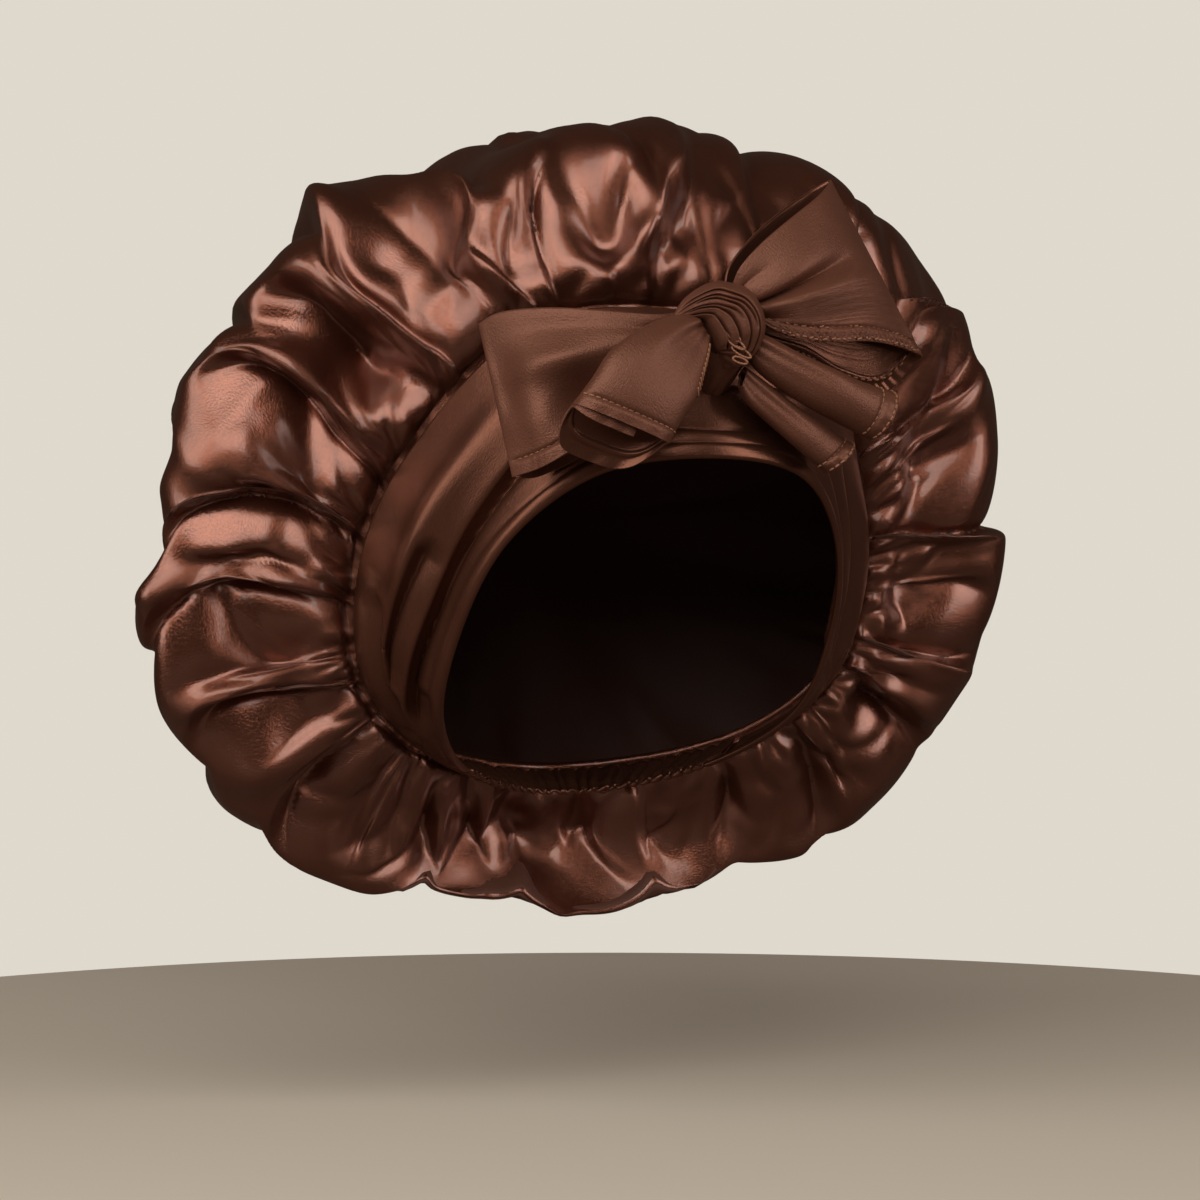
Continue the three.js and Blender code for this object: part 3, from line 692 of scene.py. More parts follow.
# Each loop: its top edge from the knot to its fold, its front and its rear hem, and the room between
# the layers
leftLoop = {
    "top": path(
        (-14, -1, 5), (-24, -1, 3), (-32, 0, 3), (-46, 4, 4), (-59, 11, 5), (-70, 19, 5), (-78, 26, 4),
        (-83, 31, 1)),
    "low": path(
        (-14, -3, -7), (-24, -5, -16), (-35, -5, -27), (-45, -2, -37), (-54, 2, -44), (-62, 8, -50),
        (-67, 15, -53), (-73, 22, -55)),
    "rearLow": path(
        (-14, 3, -7), (-24, 5, -18), (-35, 6, -31), (-45, 8, -42), (-54, 11, -49), (-62, 15, -53),
        (-67, 19, -55), (-73, 22, -55)),
    "room": table("v", (4,), (6,), (7,), (8,), (10,), (11,), (9,), (6,)),
    "facing": (-0.35, -0.94, 0.05),
    # folds that spread from the knot: across at the knot and at the far end, depth, half width, reach
    "folds": table(
        "near far deep wide reach",
        (0.20, 0.12, 2.2, 0.07, 0.45), (0.45, 0.38, 3.0, 0.09, 0.6), (0.72, 0.80, 4.0, 0.10, 0.5)),
    # soft hollows and swellings: where along and across, half sizes in the same shares, height
    "swells": table(
        "along across long wide high",
        (0.50, 0.70, 0.15, 0.22, -13.0), (0.64, 0.38, 0.22, 0.10, 3.4), (0.80, 0.72, 0.14, 0.14, 1.8),
        (0.88, 0.30, 0.12, 0.12, -1.6), (0.60, 0.14, 0.25, 0.08, -1.4), (0.90, 0.52, 0.06, 0.16, -1.5)),
    "belly": 3.5, "pucker": 0.10, "puckers": 17, "slant": 3.0, "flip": False,
    "second": (),
}
rightLoop = {
    "top": path(
        (1, -2, 13), (3, -3, 21), (11, -1, 30), (22, 3, 39), (35, 9, 48), (44, 14, 54), (50, 17, 58)),
    "low": path(
        (8, -5, 4), (17, -5, -2), (27, -4, -5), (40, -1, -5), (56, 4, -4), (74, 12, -5), (90, 20, -7)),
    "rearLow": path(
        (8, 2, 2), (18, 6, -5), (30, 9, -8), (45, 12, -11), (61, 16, -18), (78, 19, -20), (90, 20, -7)),
    "room": table("v", (4,), (8,), (12,), (16,), (17,), (14,), (7,)),
    "facing": (0.2, -0.98, 0.0),
    "folds": table(
        "near far deep wide reach",
        (0.24, 0.16, 1.8, 0.07, 0.4), (0.58, 0.36, 9.0, 0.060, 0.85), (0.78, 0.74, 6.0, 0.07, 0.36),
        (0.94, 0.97, 2.0, 0.06, 0.3)),
    "swells": table(
        "along across long wide high",
        (0.42, 0.56, 0.28, 0.09, 2.4), (0.75, 0.30, 0.16, 0.20, -1.6), (0.80, 0.66, 0.18, 0.16, 1.6),
        (0.55, 0.80, 0.20, 0.08, -1.4), (0.95, 0.88, 0.05, 0.10, 2.0)),
    "belly": 6.0, "pucker": 1.0, "puckers": 31, "slant": 7.0, "flip": True,
    "second": (1.2,),
}


# A turned hem: thicker cloth up to a stitched groove
def hemRelief(fromEdge):
    h = hemShape
    raised = h["thick"] * (1 - smooth(fromEdge, h["wide"] - 0.4, h["wide"] + 0.8))
    return raised - h["groove"] * bell(fromEdge - h["wide"], h["grooveWide"])


# Places on one layer of a loop, from the knot (share 0) to its fold and from its top down to its hem
def loopLayer(look, share, down, front):
    top, low = placeAlong(look["top"], share), placeAlong(look["low" if front else "rearLow"], share)
    half = alongTable(look["room"], "v", share) / 2 * np.sqrt(np.clip(1 - share ** 5, 0, 1))
    belly = look["belly"] * np.sin(math.pi * down) * smooth(share, 0, 0.5) * (1 - smooth(share, 0.7, 1))
    push = belly + half if front else 0.4 * belly - half
    fade = 1 - smooth(share, 0.92, 1)
    if front:
        for near, far, deep, wide, reach in eachRow(look["folds"]):
            spread = wide * (0.5 + 0.9 * share / reach)
            envelope = (0.45 + 0.55 * smooth(share, 0, 0.12)) * (1 - smooth(share, reach * 0.4, reach))
            distance = down - near - (far - near) * share
            push = push - deep * envelope * bell(distance, spread, 1.5)
        for along, across, long, wide, high in eachRow(look["swells"]):
            push = push + fade * high * bell(share - along, long) * bell(down - across, wide)
    fromEdge = (1 - down) * np.linalg.norm(low - top, axis=-1)
    hem = 1 - smooth(fromEdge, hemShape["wide"] * 0.8, hemShape["wide"] * 1.3)
    wave = 2 * math.pi * (share * look["puckers"] + 0.7 * np.sin(share * 9))
    wave += (1 - down) * look["slant"] * 8
    pucker = look["pucker"] * hem * np.sin(wave) * (0.6 + 0.4 * np.sin(share * 31 + 1)) * fade
    push = push + hemRelief(fromEdge) * fade * (1 if front else -1) + pucker * (1 if front else -0.3)
    middle = top + (low - top) * down[..., None]
    return middle + unit(np.array(look["facing"])) * push[..., None] + knotPlace


def loopSheet(look):
    g = loopGrid
    share = 1 - (1 - np.linspace(0, 1, g["along"])) ** g["alongPower"]
    down = 1 - (1 - np.linspace(0, 1, g["across"])) ** g["acrossPower"]
    share, down = grid(share, down)
    layers = [loopLayer(look, share, down, True), loopLayer(look, share, down, False)[-2::-1]]
    return np.concatenate(layers, 0)


def makeLoop(name, look):
    return clothPiece(name, loopSheet(look), ribbonWall, backMaterial=True, flip=look["flip"])


tailGrid = {"along": 80, "around": 170, "alongPower": 1.3}
# Each rolled end: its upper and lower side from the knot outwards, half its thickness, the way it
# faces, and where its winding starts and stops in half turns
leftTail = {
    "top": path(
        (-17, -12, 2), (-27, -14, 1), (-39, -19, -4), (-51, -22, -12), (-58, -22, -22), (-64, -19, -31)),
    "low": path(
        (-11, -13, -6), (-13, -15, -13), (-16, -18, -20), (-19, -20, -27), (-25, -21, -35),
        (-30, -20, -44)),
    "half": table("v", (3,), (4.5,), (5.5,), (6.5,), (7.5,), (8.0,)),
    "facing": path(
        (-0.1, -1, 0.1), (-0.1, -1, 0.1), (-0.1, -1, 0.1), (-0.05, -1, 0.05), (0, -1, 0), (0, -1, -0.1)),
    "turns": (-0.1, 2.62), "inner": 0.66, "skew": 0.30, "folds": 1.0, "square": 0.75, "drop": 0.06,
    "flip": True, "second": (),
}
upperTail = {
    "top": path(
        (8, -5, -1), (15, -8, -5), (26, -10, -11), (38, -11, -16), (50, -9, -20), (64, -6, -23)),
    "low": path(
        (7, -6, -11), (12, -8, -17), (22, -10, -24), (33, -11, -30), (44, -10, -35), (56, -8, -40)),
    "half": table("v", (3.5,), (5,), (6.5,), (7.5,), (8,), (8,)),
    "facing": path(
        (0, -1, 0.1), (0, -1, 0.2), (0.05, -1, 0.25), (0.1, -1, 0.2), (0.15, -1, 0.1), (0.2, -1, 0.05)),
    "turns": (-0.2, 2.5), "inner": 0.66, "skew": 0.08, "folds": 0.6, "square": 0.9, "drop": -0.03,
    "flip": False, "second": (1.4,),
}
lowerTail = {
    "top": path((7, -3, -15), (14, -4, -20), (24, -4, -27), (34, -3, -33), (44, 0, -38), (52, 2, -42)),
    "low": path((5, -4, -22), (8, -5, -28), (15, -5, -34), (24, -5, -41), (33, -3, -47), (41, -1, -52)),
    "half": table("v", (3,), (4,), (4.5,), (5,), (5,), (5,)),
    "facing": path((0, -1, 0), (0, -1, 0), (0, -1, 0), (0, -1, 0), (0.1, -1, 0), (0.2, -1, 0)),
    "turns": (-0.2, 2.3), "inner": 0.68, "skew": 0.06, "folds": 0.6, "square": 0.85, "drop": 0.0,
    "flip": False, "second": (1.4,),
}


def tailLength(look):
    return np.linalg.norm([look["top"][axis][-1] - look["top"][axis][0] for axis in "xyz"])


# Places on a ribbon's end that is rolled round itself; turn runs round it, share along it
def tailPlace(look, turn, share):
    radius = 1 - (1 - look["inner"]) * smooth(turn, 1.9 * math.pi, 2.5 * math.pi)
    radius *= 1 - 0.15 * smooth(-turn, 0, 0.3 * math.pi)
    skewed = look["skew"] * smooth(-np.sin(np.clip(turn, 0, 2 * math.pi)), -0.1, 1)
    inside = smooth(turn, 1.85 * math.pi, 2.3 * math.pi)
    stretch = share * (1 + skewed * (1 - inside) + look["drop"] * inside)
    reach = np.clip(stretch, 0, 1)

    def place(rows):
        lastStep = np.array([[rows[axis][-1] - rows[axis][-2] for axis in "xyz"]])
        return placeAlong(rows, reach) + (stretch - reach)[..., None] * lastStep * (len(rows["x"]) - 1)

    top, low = place(look["top"]), place(look["low"])
    facing = unit(placeAlong(look["facing"], share))
    half = alongTable(look["half"], "v", share) * radius
    across = 0.5 - 0.5 * np.cos(turn) * radius
    front = np.sign(np.sin(turn)) * np.abs(np.sin(turn)) ** look["square"]
    ripple = look["folds"] * (np.sin(across * 9 + 2) + 0.6 * np.sin(across * 17))
    ripple *= 1 - smooth(share, 0.1, 0.8)
    fromEnd = (1 - share) * tailLength(look)
    hem = hemRelief(fromEnd) + 0.25 * np.sin(turn * 11) * (1 - smooth(fromEnd, 0, 7))
    push = (half + hem) * front - ripple * np.sin(turn)
    return top + (low - top) * across[..., None] + facing * push[..., None] + knotPlace


def tailSheet(look):
    share = 1 - (1 - np.linspace(0, 1, tailGrid["along"])) ** tailGrid["alongPower"]
    turn = np.linspace(*look["turns"], tailGrid["around"]) * math.pi
    turn, share = grid(turn, share)
    return tailPlace(look, turn, share)


def makeTail(name, look):
    return clothPiece(name, tailSheet(look), ribbonWall, backMaterial=True, flip=look["flip"])


# The knot: cloth wound from the upper left over the front to the lower right, in narrow pleats
knotShape = {
    "outer": path(
        (-22, -7, 3), (-19, -8, 8), (-14, -8, 12), (-8, -8, 15), (-2, -8, 15), (5, -8, 13), (10, -8, 7),
        (12, -8, 0), (11, -8, -6), (8, -8, -11), (4, -7, -15)),
    "inner": path(
        (-21, -8, 1), (-17, -11, 1), (-15, -13, 1), (-13, -14, 0), (-12, -14, -2), (-11, -14, -4),
        (-10, -14, -6), (-9, -14, -8), (-8, -13, -10), (-6, -12, -12), (-3, -9, -16)),
    "height": table("v", (1,), (4,), (7,), (9,), (10.5,), (11,), (11,), (10,), (8,), (6,), (2,)),
    # gaps between the pleats: across from the outer side at the start, half way and at the end, the
    # shares along where each begins and ends, its depth and half width, and how high one side laps
    "gaps": table(
        "first middle last start end deep wide lap",
        (0.20, 0.27, 0.24, 0.04, 0.97, 4.0, 0.020, 1.8), (0.30, 0.38, 0.33, 0.00, 0.72, 3.2, 0.016, 1.1),
        (0.42, 0.48, 0.44, 0.12, 0.96, 3.8, 0.018, 1.9), (0.52, 0.60, 0.55, 0.00, 0.62, 2.8, 0.014, 0.9),
        (0.62, 0.70, 0.66, 0.05, 0.92, 4.0, 0.020, 2.2), (0.78, 0.87, 0.84, 0.00, 0.90, 3.6, 0.018, 1.6)),
    "lapWide": 0.07, "wander": 0.018, "crumple": 0.35, "along": 150, "around": 320,
}


def knotSheet():
    s = knotShape
    share = np.linspace(0, 1, s["along"])
    turn = np.linspace(0, 2 * math.pi, s["around"], endpoint=False)
    turn, share = grid(turn, share)
    outer, inner = placeAlong(s["outer"], share), placeAlong(s["inner"], share)
    across = 0.5 - 0.5 * np.cos(turn)
    front = np.sin(turn)
    wander = np.sin(share * 9 + across * 4) + 0.5 * np.sin(share * 19 + across * 9)
    fromOuter = across + s["wander"] * wander
    relief = np.zeros_like(share)
    for first, middle, last, start, end, deep, wide, lap in eachRow(s["gaps"]):
        t = np.clip((share - start) / (end - start), 0, 1)
        present = smooth(share, start, start + 0.12) * (1 - smooth(share, end - 0.15, end))
        distance = fromOuter - throughThree(first, middle, last, t)
        relief -= present * deep * bell(distance, wide, 1.3)
        relief += present * lap * np.where(distance > 0, bell(distance, s["lapWide"], 1), 0)
    relief *= smooth(front, 0, 0.3)
    crumple = smooth(share, 0.74, 0.84) * smooth(across, 0.45, 0.7) * (1 - smooth(share, 0.97, 1))
    relief += s["crumple"] * crumple * np.sin(share * 95 + across * 14) * smooth(front, 0, 0.3)
    height = alongTable(s["height"], "v", share)
    push = height * np.where(front > 0, np.abs(front) ** 0.8, front * 0.9) + relief
    middle = outer + (inner - outer) * across[..., None]
    return middle + np.array([0, -1, 0]) * push[..., None] + knotPlace


def makeKnot():
    points = knotSheet()
    rows, columns = points.shape[:2]
    faces = gridFaces(rows, columns, ring=True)
    first, last = points[:, 0].mean(0), points[:, -1].mean(0)
    vertices = np.concatenate([points.reshape(-1, 3), [first, last]])
    for i in range(rows):
        a, b = i * columns, (i + 1) % rows * columns
        faces += [(b, a, rows * columns), (a + columns - 1, b + columns - 1, rows * columns + 1)]
    uvs = np.concatenate([flatPlaces(points).reshape(-1, 2), np.zeros((2, 2))])
    piece = newPiece("wound_knot", vertices, faces, uvs)
    alone(piece)
    bpy.ops.object.mode_set(mode="EDIT")
    bpy.ops.mesh.select_all(action="SELECT")
    bpy.ops.mesh.normals_make_consistent(inside=False)
    bpy.ops.object.mode_set(mode="OBJECT")
    return piece


# The cloth that comes out below the knot
knotTuck = {
    "top": path((-10, -5, -9), (-4, -7, -11), (3, -7, -12), (8, -5, -10)),
    "low": path((-6, 10, -25), (-3, 9, -26), (1, 9, -26), (4, 10, -24)),
    "along": 60, "across": 34, "belly": 2.5, "folds": 1.0,
}


def makeKnotTuck():
    s = knotTuck
    share, down = grid(np.linspace(0, 1, s["along"]), np.linspace(0, 1, s["across"]))
    top, low = placeAlong(s["top"], share), placeAlong(s["low"], share)
    push = s["belly"] * np.sin(math.pi * share) * (0.3 + 0.7 * np.cos(down * math.pi / 2))
    push += s["folds"] * np.sin(share * 19 + down * 3) * (1 - 0.6 * down)
    points = top + (low - top) * down[..., None] + np.array([0, -1, 0]) * push[..., None] + knotPlace
    return clothPiece("bow_knot_tuck", points, ribbonWall)


# Stitches: small rounded bars of thread, half sunk in the cloth; ends give the places of a bar's rings
# as shares of its half length, and their sizes
stitchShape = {
    "long": 1.9, "thick": 0.8, "gap": 3.0, "wander": 0.12, "above": 0.1, "sides": 6,
    "ends": ((-1, 0.45), (-0.7, 1), (0.7, 1), (1, 0.45)),
}
# Rows of stitches: the number of points that give the line, and where it runs. A loop or tail has one
# along the groove of its hem, and a second one where "second" says how far it lies from the edge
loopRow = {"points": 120, "shares": (0.03, 0.93), "down": 0.3}
rearRow = {"points": 90, "shares": (0.3, 0.93), "down": 0.93}
tailRow = {"points": 90, "turns": (0.04, 0.97), "gap": 2.5}
edgeRow = {
    "points": 60, "shares": (0.10, 0.62), "turn": 0.90, "long": 3.6, "gap": 2.1, "slant": 52,
    "wander": 0.2,
}
# Loops of loose thread below the knot
threadRings = table(
    "x z wide high turn",
    (-4.5, -5.5, 2.6, 1.1, -38), (-3.5, -8.0, 3.4, 1.2, -35), (-1.5, -11.0, 3.6, 1.2, -32),
    (-2.0, -14.0, 2.6, 1.0, -20))
ringShape = {"points": 25, "y": -20.5, "slope": 0.3, "long": 1.5, "gap": 1.2}


# Vertices and faces of bars along a line that lies on cloth
def stitchBars(line, facing, long, gap, turn, wander):
    draw = random.Random(len(line))
    length = np.concatenate([[0], np.linalg.norm(np.diff(line, axis=0), axis=1).cumsum()])
    sides, ends, half = stitchShape["sides"], stitchShape["ends"], stitchShape["thick"] / 2

    def read(rows, where):
        return np.array([np.interp(where, length, rows[:, k]) for k in range(3)])

    vertices, faces = [], []
    for at in np.arange(gap / 2, length[-1], gap):
        centre, up = read(line, at), unit(read(facing, at))
        way = unit(read(line, min(at + 1, length[-1])) - read(line, max(at - 1, 0)))
        side = unit(np.cross(up, way))
        t = math.radians(turn) + draw.uniform(-1, 1) * wander
        way, side = way * math.cos(t) + side * math.sin(t), side * math.cos(t) - way * math.sin(t)
        first = len(vertices)
        for end, size in ends:
            for a in (2 * math.pi * k / sides for k in range(sides)):
                offset = side * math.cos(a) + up * math.sin(a)
                vertices.append(centre + way * end * long / 2 + offset * size * half)
        for ring in range(len(ends) - 1):
            for k in range(sides):
                a, b = first + ring * sides + k, first + ring * sides + (k + 1) % sides
                faces.append((a, b, b + sides, a + sides))
        faces.append(tuple(first + k for k in reversed(range(sides))))
        faces.append(tuple(first + (len(ends) - 1) * sides + k for k in range(sides)))
    return vertices, faces


# A line on a sheet and the cloth's own facing along it
def surfaceLine(place, first, second):
    step = 0.004
    line = place(first, second)
    across, along = place(first + step, second) - line, place(first, second + step) - line
    return line, unit(np.cross(across, along))


def makeStitches():
    s = stitchShape
    vertices, faces = [], []

    def add(line, facing, long=s["long"], gap=s["gap"], turn=0.0, wander=s["wander"]):
        more, joined = stitchBars(line, facing, long, gap, turn, wander)
        faces.extend(tuple(v + len(vertices) for v in face) for face in joined)
        vertices.extend(more)

    def sew(place, first, second, outwards, **how):
        line, facing = surfaceLine(place, first, second)
        facing = facing * np.sign((facing @ np.array(outwards)).mean())
        add(line + facing * (ribbonWall / 2 + s["above"]), facing, **how)

    share = np.linspace(*loopRow["shares"], loopRow["points"])
    for look in (leftLoop, rightLoop):
        tall = np.linalg.norm(placeAlong(look["low"], share) - placeAlong(look["top"], share), axis=-1)
        for fromEdge in (hemShape["wide"], *look["second"]):
            down = 1 - fromEdge / tall
            keep = down > loopRow["down"]
            sew(lambda a, b: loopLayer(look, a, b, True), share[keep], down[keep], (0, -1, 0))
    share = np.linspace(*rearRow["shares"], rearRow["points"])
    down = np.full_like(share, rearRow["down"])
    sew(lambda a, b: loopLayer(rightLoop, a, b, False), share, down, (0, -1, 0))
    turn = np.linspace(*tailRow["turns"], tailRow["points"]) * math.pi
    for look in (leftTail, upperTail, lowerTail):
        for fromEdge in (hemShape["wide"], *look["second"]):
            share = np.full_like(turn, 1 - fromEdge / tailLength(look))
            sew(lambda a, b: tailPlace(look, a, b), turn, share, (0, -1, 0.3), gap=tailRow["gap"])
    e = edgeRow
    share = np.linspace(*e["shares"], e["points"])
    turn = np.full_like(share, e["turn"] * math.pi)
    sew(lambda a, b: tailPlace(leftTail, a, b), turn, share, (0.4, -1, 0),
        long=e["long"], gap=e["gap"], turn=e["slant"], wander=e["wander"])
    r = ringShape
    around = np.linspace(0, 2 * math.pi, r["points"])
    for x, z, wide, high, turn in eachRow(threadRings):
        t = math.radians(turn)
        u, w = wide * np.cos(around), high * np.sin(around)
        line = [x + u * math.cos(t) - w * math.sin(t), r["y"] - r["slope"] * u,
                z + u * math.sin(t) + w * math.cos(t)]
        facing = np.tile([0.0, -1.0, 0.0], (r["points"], 1))
        add(np.stack(line, -1) + knotPlace, facing, r["long"], r["gap"], wander=0.0)
    return newPiece("bow_stitches", np.array(vertices), faces, np.array(vertices)[:, [0, 2]])


# Materials

def newNode(nodes, kind, values=(), **settings):
    node = nodes.new("ShaderNode" + kind)
    for name, setting in settings.items():
        setattr(node, name, setting)
    for socket, value in dict(values).items():
        node.inputs[socket].default_value = value
    return node


def newMaterial(name):
    material = bpy.data.materials.new(name)
    material.use_nodes = True
    return material, material.node_tree.nodes, material.node_tree.links


# Grain noises: stretch along and across the cloth, detail and roughness
grainShape = {
    "threads": (1500, 1000, 2, 0.6), "slubs": (420, 1500, 2, 0.7), "clouds": (38, 30, 3, 0.55),
    "threadShade": 0.8,
}


# Fine threads and slubs of a woven cloth, read on its own flat places
def makeGrainGroup():
    group = bpy.data.node_groups.new("clothGrain", "ShaderNodeTree")
    face = group.interface
    face.new_socket("Place", in_out="INPUT", socket_type="NodeSocketVector")
    for name in ("Slub", "Clouds"):
        face.new_socket(name, in_out="INPUT", socket_type="NodeSocketFloat").default_value = 0.5
    for name in ("Height", "Shade"):
        face.new_socket(name, in_out="OUTPUT", socket_type="NodeSocketFloat")
    nodes, links = group.nodes, group.links
    given, out = nodes.new("NodeGroupInput"), nodes.new("NodeGroupOutput")

    def noise(scaleX, scaleY, detail, rough):
        stretch = newNode(nodes, "VectorMath", {1: (scaleX, scaleY, 1)}, operation="MULTIPLY")
        links.new(given.outputs["Place"], stretch.inputs[0])
        texture = newNode(
            nodes, "TexNoise", {"Scale": 1, "Detail": detail, "Roughness": rough}, noise_dimensions="2D")
        links.new(stretch.outputs[0], texture.inputs["Vector"])
        return texture.outputs["Fac"]

    def join(first, operation, second):
        node = newNode(nodes, "Math", operation=operation)
        links.new(first, node.inputs[0])
        if isinstance(second, float):
            node.inputs[1].default_value = second
        else:
            links.new(second, node.inputs[1])
        return node.outputs[0]

    threads, slubs, clouds = (noise(*grainShape[name]) for name in ("threads", "slubs", "clouds"))
    slubPart = join(slubs, "MULTIPLY", given.outputs["Slub"])
    links.new(join(threads, "ADD", slubPart), out.inputs["Height"])
    cloudPart = join(join(clouds, "SUBTRACT", 0.5), "MULTIPLY", given.outputs["Clouds"])
    threadPart = join(join(threads, "SUBTRACT", 0.5), "MULTIPLY", grainShape["threadShade"])
    links.new(join(cloudPart, "ADD", threadPart), out.inputs["Shade"])
    return group


def clothMaterial(name, look, grain):
    material, nodes, links = newMaterial(name)
    shader = nodes["Principled BSDF"]
    dark, light = (*look["dark"], 1), (*look["light"], 1)
    place = newNode(nodes, "UVMap", uv_map="cloth")
    weave = newNode(nodes, "Group", {"Slub": look["slub"], "Clouds": look["clouds"]}, node_tree=grain)
    links.new(place.outputs["UV"], weave.inputs["Place"])
    shade = newNode(nodes, "Math", {1: 0.5}, operation="ADD", use_clamp=True)
    links.new(weave.outputs["Shade"], shade.inputs[0])
    colour = newNode(nodes, "Mix", {"A": dark, "B": light}, data_type="RGBA")
    links.new(shade.outputs[0], colour.inputs["Factor"])
    links.new(colour.outputs["Result"], shader.inputs["Base Color"])
    least, most = look["rough"] - look["roughVary"], look["rough"] + look["roughVary"]
    rough = newNode(nodes, "MapRange", {"To Min": least, "To Max": most})
    links.new(shade.outputs[0], rough.inputs["Value"])
    links.new(rough.outputs["Result"], shader.inputs["Roughness"])
    bump = newNode(nodes, "Bump", {"Strength": look["bump"], "Distance": look["bumpHeight"]})
    links.new(weave.outputs["Height"], bump.inputs["Height"])
    links.new(bump.outputs["Normal"], shader.inputs["Normal"])
    values = {
        "Metallic": look["metallic"], "Specular IOR Level": look["specular"],
        "Sheen Weight": look["sheen"], "Sheen Roughness": look["sheenRough"], "Sheen Tint": light,
        "Coat Weight": look["gloss"], "Coat Roughness": look["glossRough"],
        "Coat IOR": look["glossIndex"],
    }
    for socket, value in values.items():
        shader.inputs[socket].default_value = value
    material.diffuse_color = light
    return material


# What each look starts from
plainCloth = {
    "roughVary": 0.05, "metallic": 0.0, "specular": 0.25, "gloss": 0.0, "glossRough": 0.3,
    "glossIndex": 1.5, "sheen": 0.1, "sheenRough": 0.5, "bump": 0.6, "bumpHeight": 0.0001, "slub": 0.7,
    "clouds": 0.6,
}
satinLook = {
    **plainCloth, "dark": (0.148, 0.045, 0.025), "light": (0.224, 0.078, 0.043), "rough": 0.23,
    "metallic": 0.85, "gloss": 0.65, "glossRough": 0.20, "glossIndex": 1.55, "sheen": 0.0,
    "specular": 0.5, "bump": 0.9, "bumpHeight": 0.00018, "slub": 0.5, "clouds": 0.7,
}
matteLook = {
    **plainCloth, "dark": (0.122, 0.045, 0.025), "light": (0.186, 0.070, 0.041), "rough": 0.44,
    "roughVary": 0.06, "metallic": 0.42, "sheen": 0.08, "bump": 0.9, "bumpHeight": 0.00018,
    "clouds": 0.9,
}
# The band's colours are darker than the crown satin's: painted shade, for the band's sides that face away
# from the lamps and lie under the bow.
bandShadeLook = {
    **plainCloth, "dark": (0.107, 0.039, 0.022), "light": (0.163, 0.060, 0.034), "rough": 0.31,
    "metallic": 0.75, "sheen": 0.05, "specular": 0.35, "slub": 0.6,
}
insideLook = {**plainCloth, "dark": (0.060, 0.022, 0.013), "light": (0.095, 0.036, 0.022), "rough": 0.6}
# The thread's colours are lighter than the cloth's: partly the thread's own colour, partly a painted
# highlight of thread catching the light.
threadHighlightLook = {
    **plainCloth, "dark": (0.21, 0.082, 0.040), "light": (0.32, 0.135, 0.070), "rough": 0.45,
    "specular": 0.4, "bump": 0.3, "bumpHeight": 0.00005,
}


# Assembly

grainGroup = makeGrainGroup()
satin = clothMaterial("crown satin", satinLook, grainGroup)
matte = clothMaterial("bow matte side", matteLook, grainGroup)
halfMatte = clothMaterial("band half gloss with painted shade", bandShadeLook, grainGroup)
wrongSide = clothMaterial("crown wrong side", insideLook, grainGroup)
thread = clothMaterial("sewing thread with painted highlight", threadHighlightLook, grainGroup)


def dress(piece, material, slotName, *nodes, inside=None):
    for k, used in enumerate((material, inside) if inside else (material,)):
        if k < len(piece.data.materials):
            piece.data.materials[k] = used
        else:
            piece.data.materials.append(used)
    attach(piece, "root")
    if nodes:
        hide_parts(*nodes)
    return piece


crown, cutRadius = makeCrown()
dress(crown, satin, "satin", "crown", inside=wrongSide)
print("crown made, cut radius", round(float(cutRadius)), "mm")
band = dress(makeBand(), halfMatte, "matte_side", "band")
nape = dress(makeNapeCasing(), halfMatte, "matte_side", "nape_casing")
print("band made")


# The ribbons' inner sides get the band's look, so their darker colour is painted shade inside the loops
# and tails.
def dressRibbon(piece, node):
    return dress(piece, matte, "matte_side", node, inside=halfMatte)


loopLeft = dressRibbon(makeLoop("bow_left_loop", leftLoop), "left_loop")
loopRight = dressRibbon(makeLoop("bow_right_loop", rightLoop), "right_loop")
tailLeft = dressRibbon(makeTail("bow_left_tail", leftTail), "left_tail")
tailUpper = dressRibbon(makeTail("bow_right_tail_upper", upperTail), "right_tail_upper")
tailLower = dressRibbon(makeTail("bow_right_tail_lower", lowerTail), "right_tail_lower")
dress(makeKnot(), matte, "matte_side", "knot")
knotUnder = dress(makeKnotTuck(), matte, "matte_side")
dress(makeStitches(), thread, "matte_side")
print("bow made")


# Floor, light and camera

studio = {
    "floorPlace": (0, 0.02, -0.225), "floorRadius": 0.62, "floorThick": 0.03, "floorSides": 192,
    "floorColour": (0.80, 0.70, 0.57), "floorBounce": (0.16, 0.12, 0.09), "floorRough": 0.6,
    "wall": (0.74, 0.69, 0.61), "ambient": (0.040, 0.027, 0.020),
}
# Yaw in degrees, lens and sensor in millimetres, the rest in metres
cameraPlace = {
    "yaw": 20, "distance": 1.100, "lift": 0.0086, "shift": -0.0122, "lens": 84.15, "sensor": 36,
    "clip": (0.01, 20),
}
# Lamps: degrees to the left of the camera and up, distance, size, watts and colour
lampsAim = (0, 0.03, 0.04)
lamps = {
    "key": {
        "left": 12, "up": 30, "far": 1.7, "size": (1.7, 1.2), "power": 22, "colour": (1, 0.985, 0.955)},
    "left": {
        "left": 60, "up": 14, "far": 1.8, "size": (0.9, 1.5), "power": 13, "colour": (1, 0.97, 0.93)},
    "right": {
        "left": -66, "up": 12, "far": 1.8, "size": (0.8, 1.4), "power": 13, "colour": (1, 0.96, 0.93)},
}


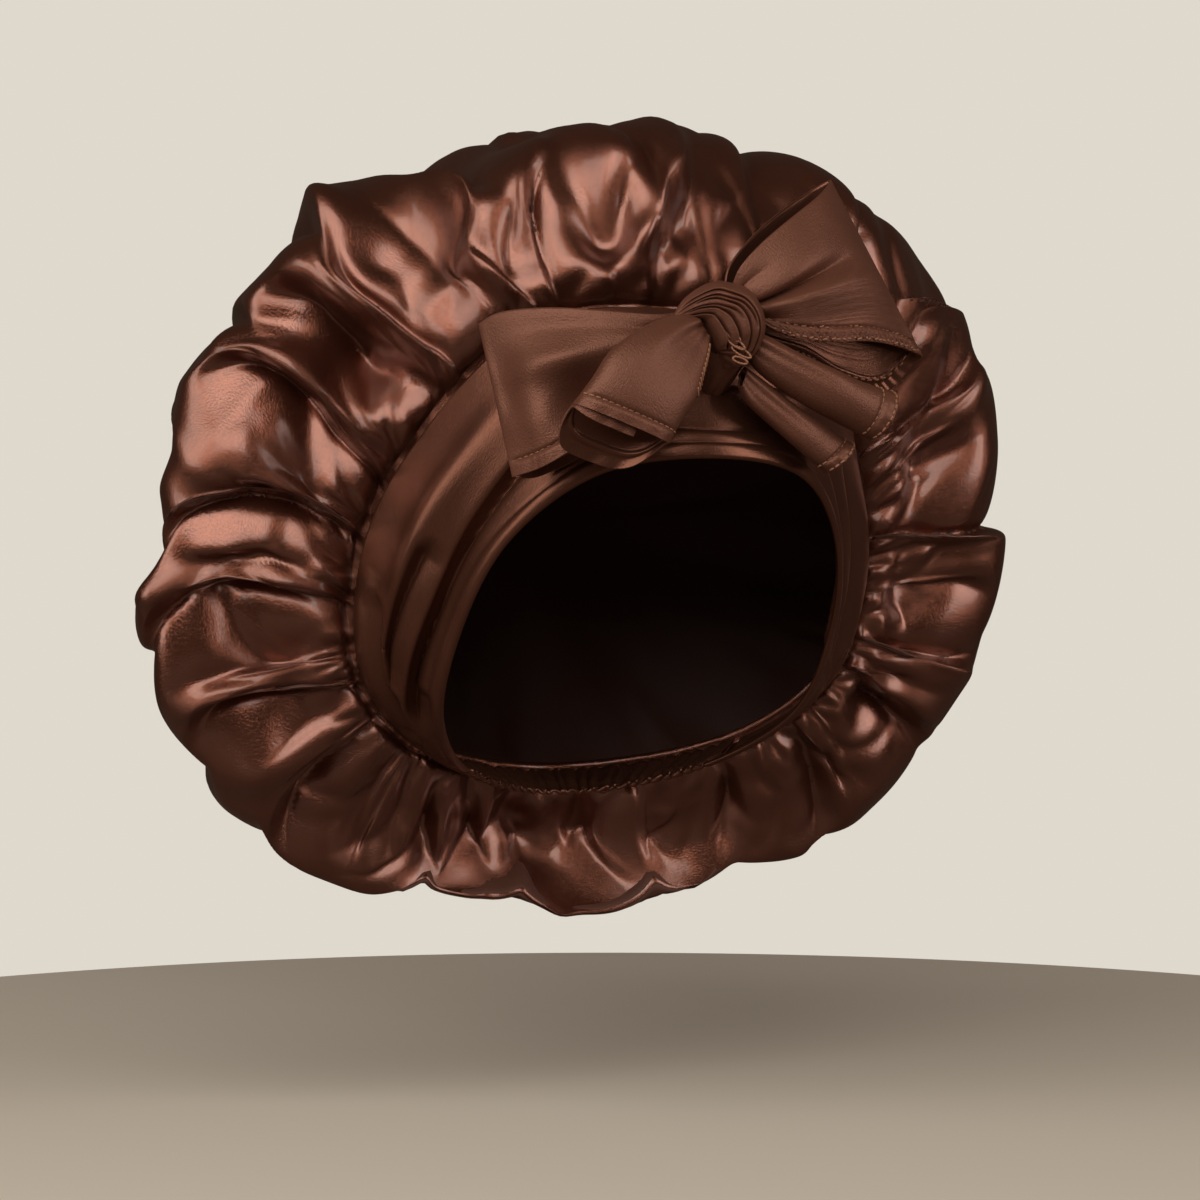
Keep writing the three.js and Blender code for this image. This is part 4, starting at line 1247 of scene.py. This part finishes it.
def makeCamera():
    c = cameraPlace
    turn = math.radians(c["yaw"])
    ahead = np.array([math.sin(turn), math.cos(turn), 0])
    aside = np.array([math.cos(turn), -math.sin(turn), 0])
    data = bpy.data.cameras.new("camera")
    data.lens, data.sensor_width = c["lens"], c["sensor"]
    data.clip_start, data.clip_end = c["clip"]
    camera = bpy.data.objects.new("camera", data)
    bpy.context.scene.collection.objects.link(camera)
    camera.location = -ahead * c["distance"] + aside * c["shift"] + np.array([0, 0, c["lift"]])
    camera.rotation_euler = (math.pi / 2, 0, -turn)
    bpy.context.scene.camera = camera
    return ahead, aside


# One colour where the camera sees it, and another for the light that it throws
def seenOrThrown(nodes, links, seen, thrown):
    ray = newNode(nodes, "LightPath")
    mix = newNode(nodes, "Mix", {"A": (*thrown, 1), "B": (*seen, 1)}, data_type="RGBA")
    links.new(ray.outputs["Is Camera Ray"], mix.inputs["Factor"])
    return mix.outputs["Result"]


def makeFloor():
    bpy.ops.object.select_all(action="DESELECT")
    bpy.ops.mesh.primitive_cylinder_add(
        vertices=studio["floorSides"], radius=studio["floorRadius"], depth=studio["floorThick"],
        location=studio["floorPlace"])
    floor = bpy.context.object
    floor.name = "floor"
    material, nodes, links = newMaterial("pale floor")
    shader = nodes["Principled BSDF"]
    colour = seenOrThrown(nodes, links, studio["floorColour"], studio["floorBounce"])
    links.new(colour, shader.inputs["Base Color"])
    shader.inputs["Roughness"].default_value = studio["floorRough"]
    floor.data.materials.append(material)


def makeLamp(name, lamp, ahead, aside):
    left, up = math.radians(lamp["left"]), math.radians(lamp["up"])
    level = -ahead * math.cos(left) - aside * math.sin(left)
    way = level * math.cos(up) + np.array([0, 0, math.sin(up)])
    data = bpy.data.lights.new(name, "AREA")
    data.shape = "RECTANGLE"
    data.size, data.size_y = lamp["size"]
    data.energy = lamp["power"]
    data.color = lamp["colour"]
    light = bpy.data.objects.new(name, data)
    bpy.context.scene.collection.objects.link(light)
    light.location = np.array(lampsAim) + way * lamp["far"]
    light.rotation_euler = Vector(-way).to_track_quat("-Z", "Y").to_euler()


def makeWorld():
    world = bpy.data.worlds.new("room")
    world.use_nodes = True
    nodes, links = world.node_tree.nodes, world.node_tree.links
    colour = seenOrThrown(nodes, links, studio["wall"], studio["ambient"])
    links.new(colour, nodes["Background"].inputs["Color"])
    bpy.context.scene.world = world


ahead, aside = makeCamera()
makeFloor()
for name, lamp in lamps.items():
    makeLamp(name, lamp, ahead, aside)
makeWorld()
view = bpy.context.scene.view_settings
view.view_transform = "Standard"
view.look = "None"
print("studio made")
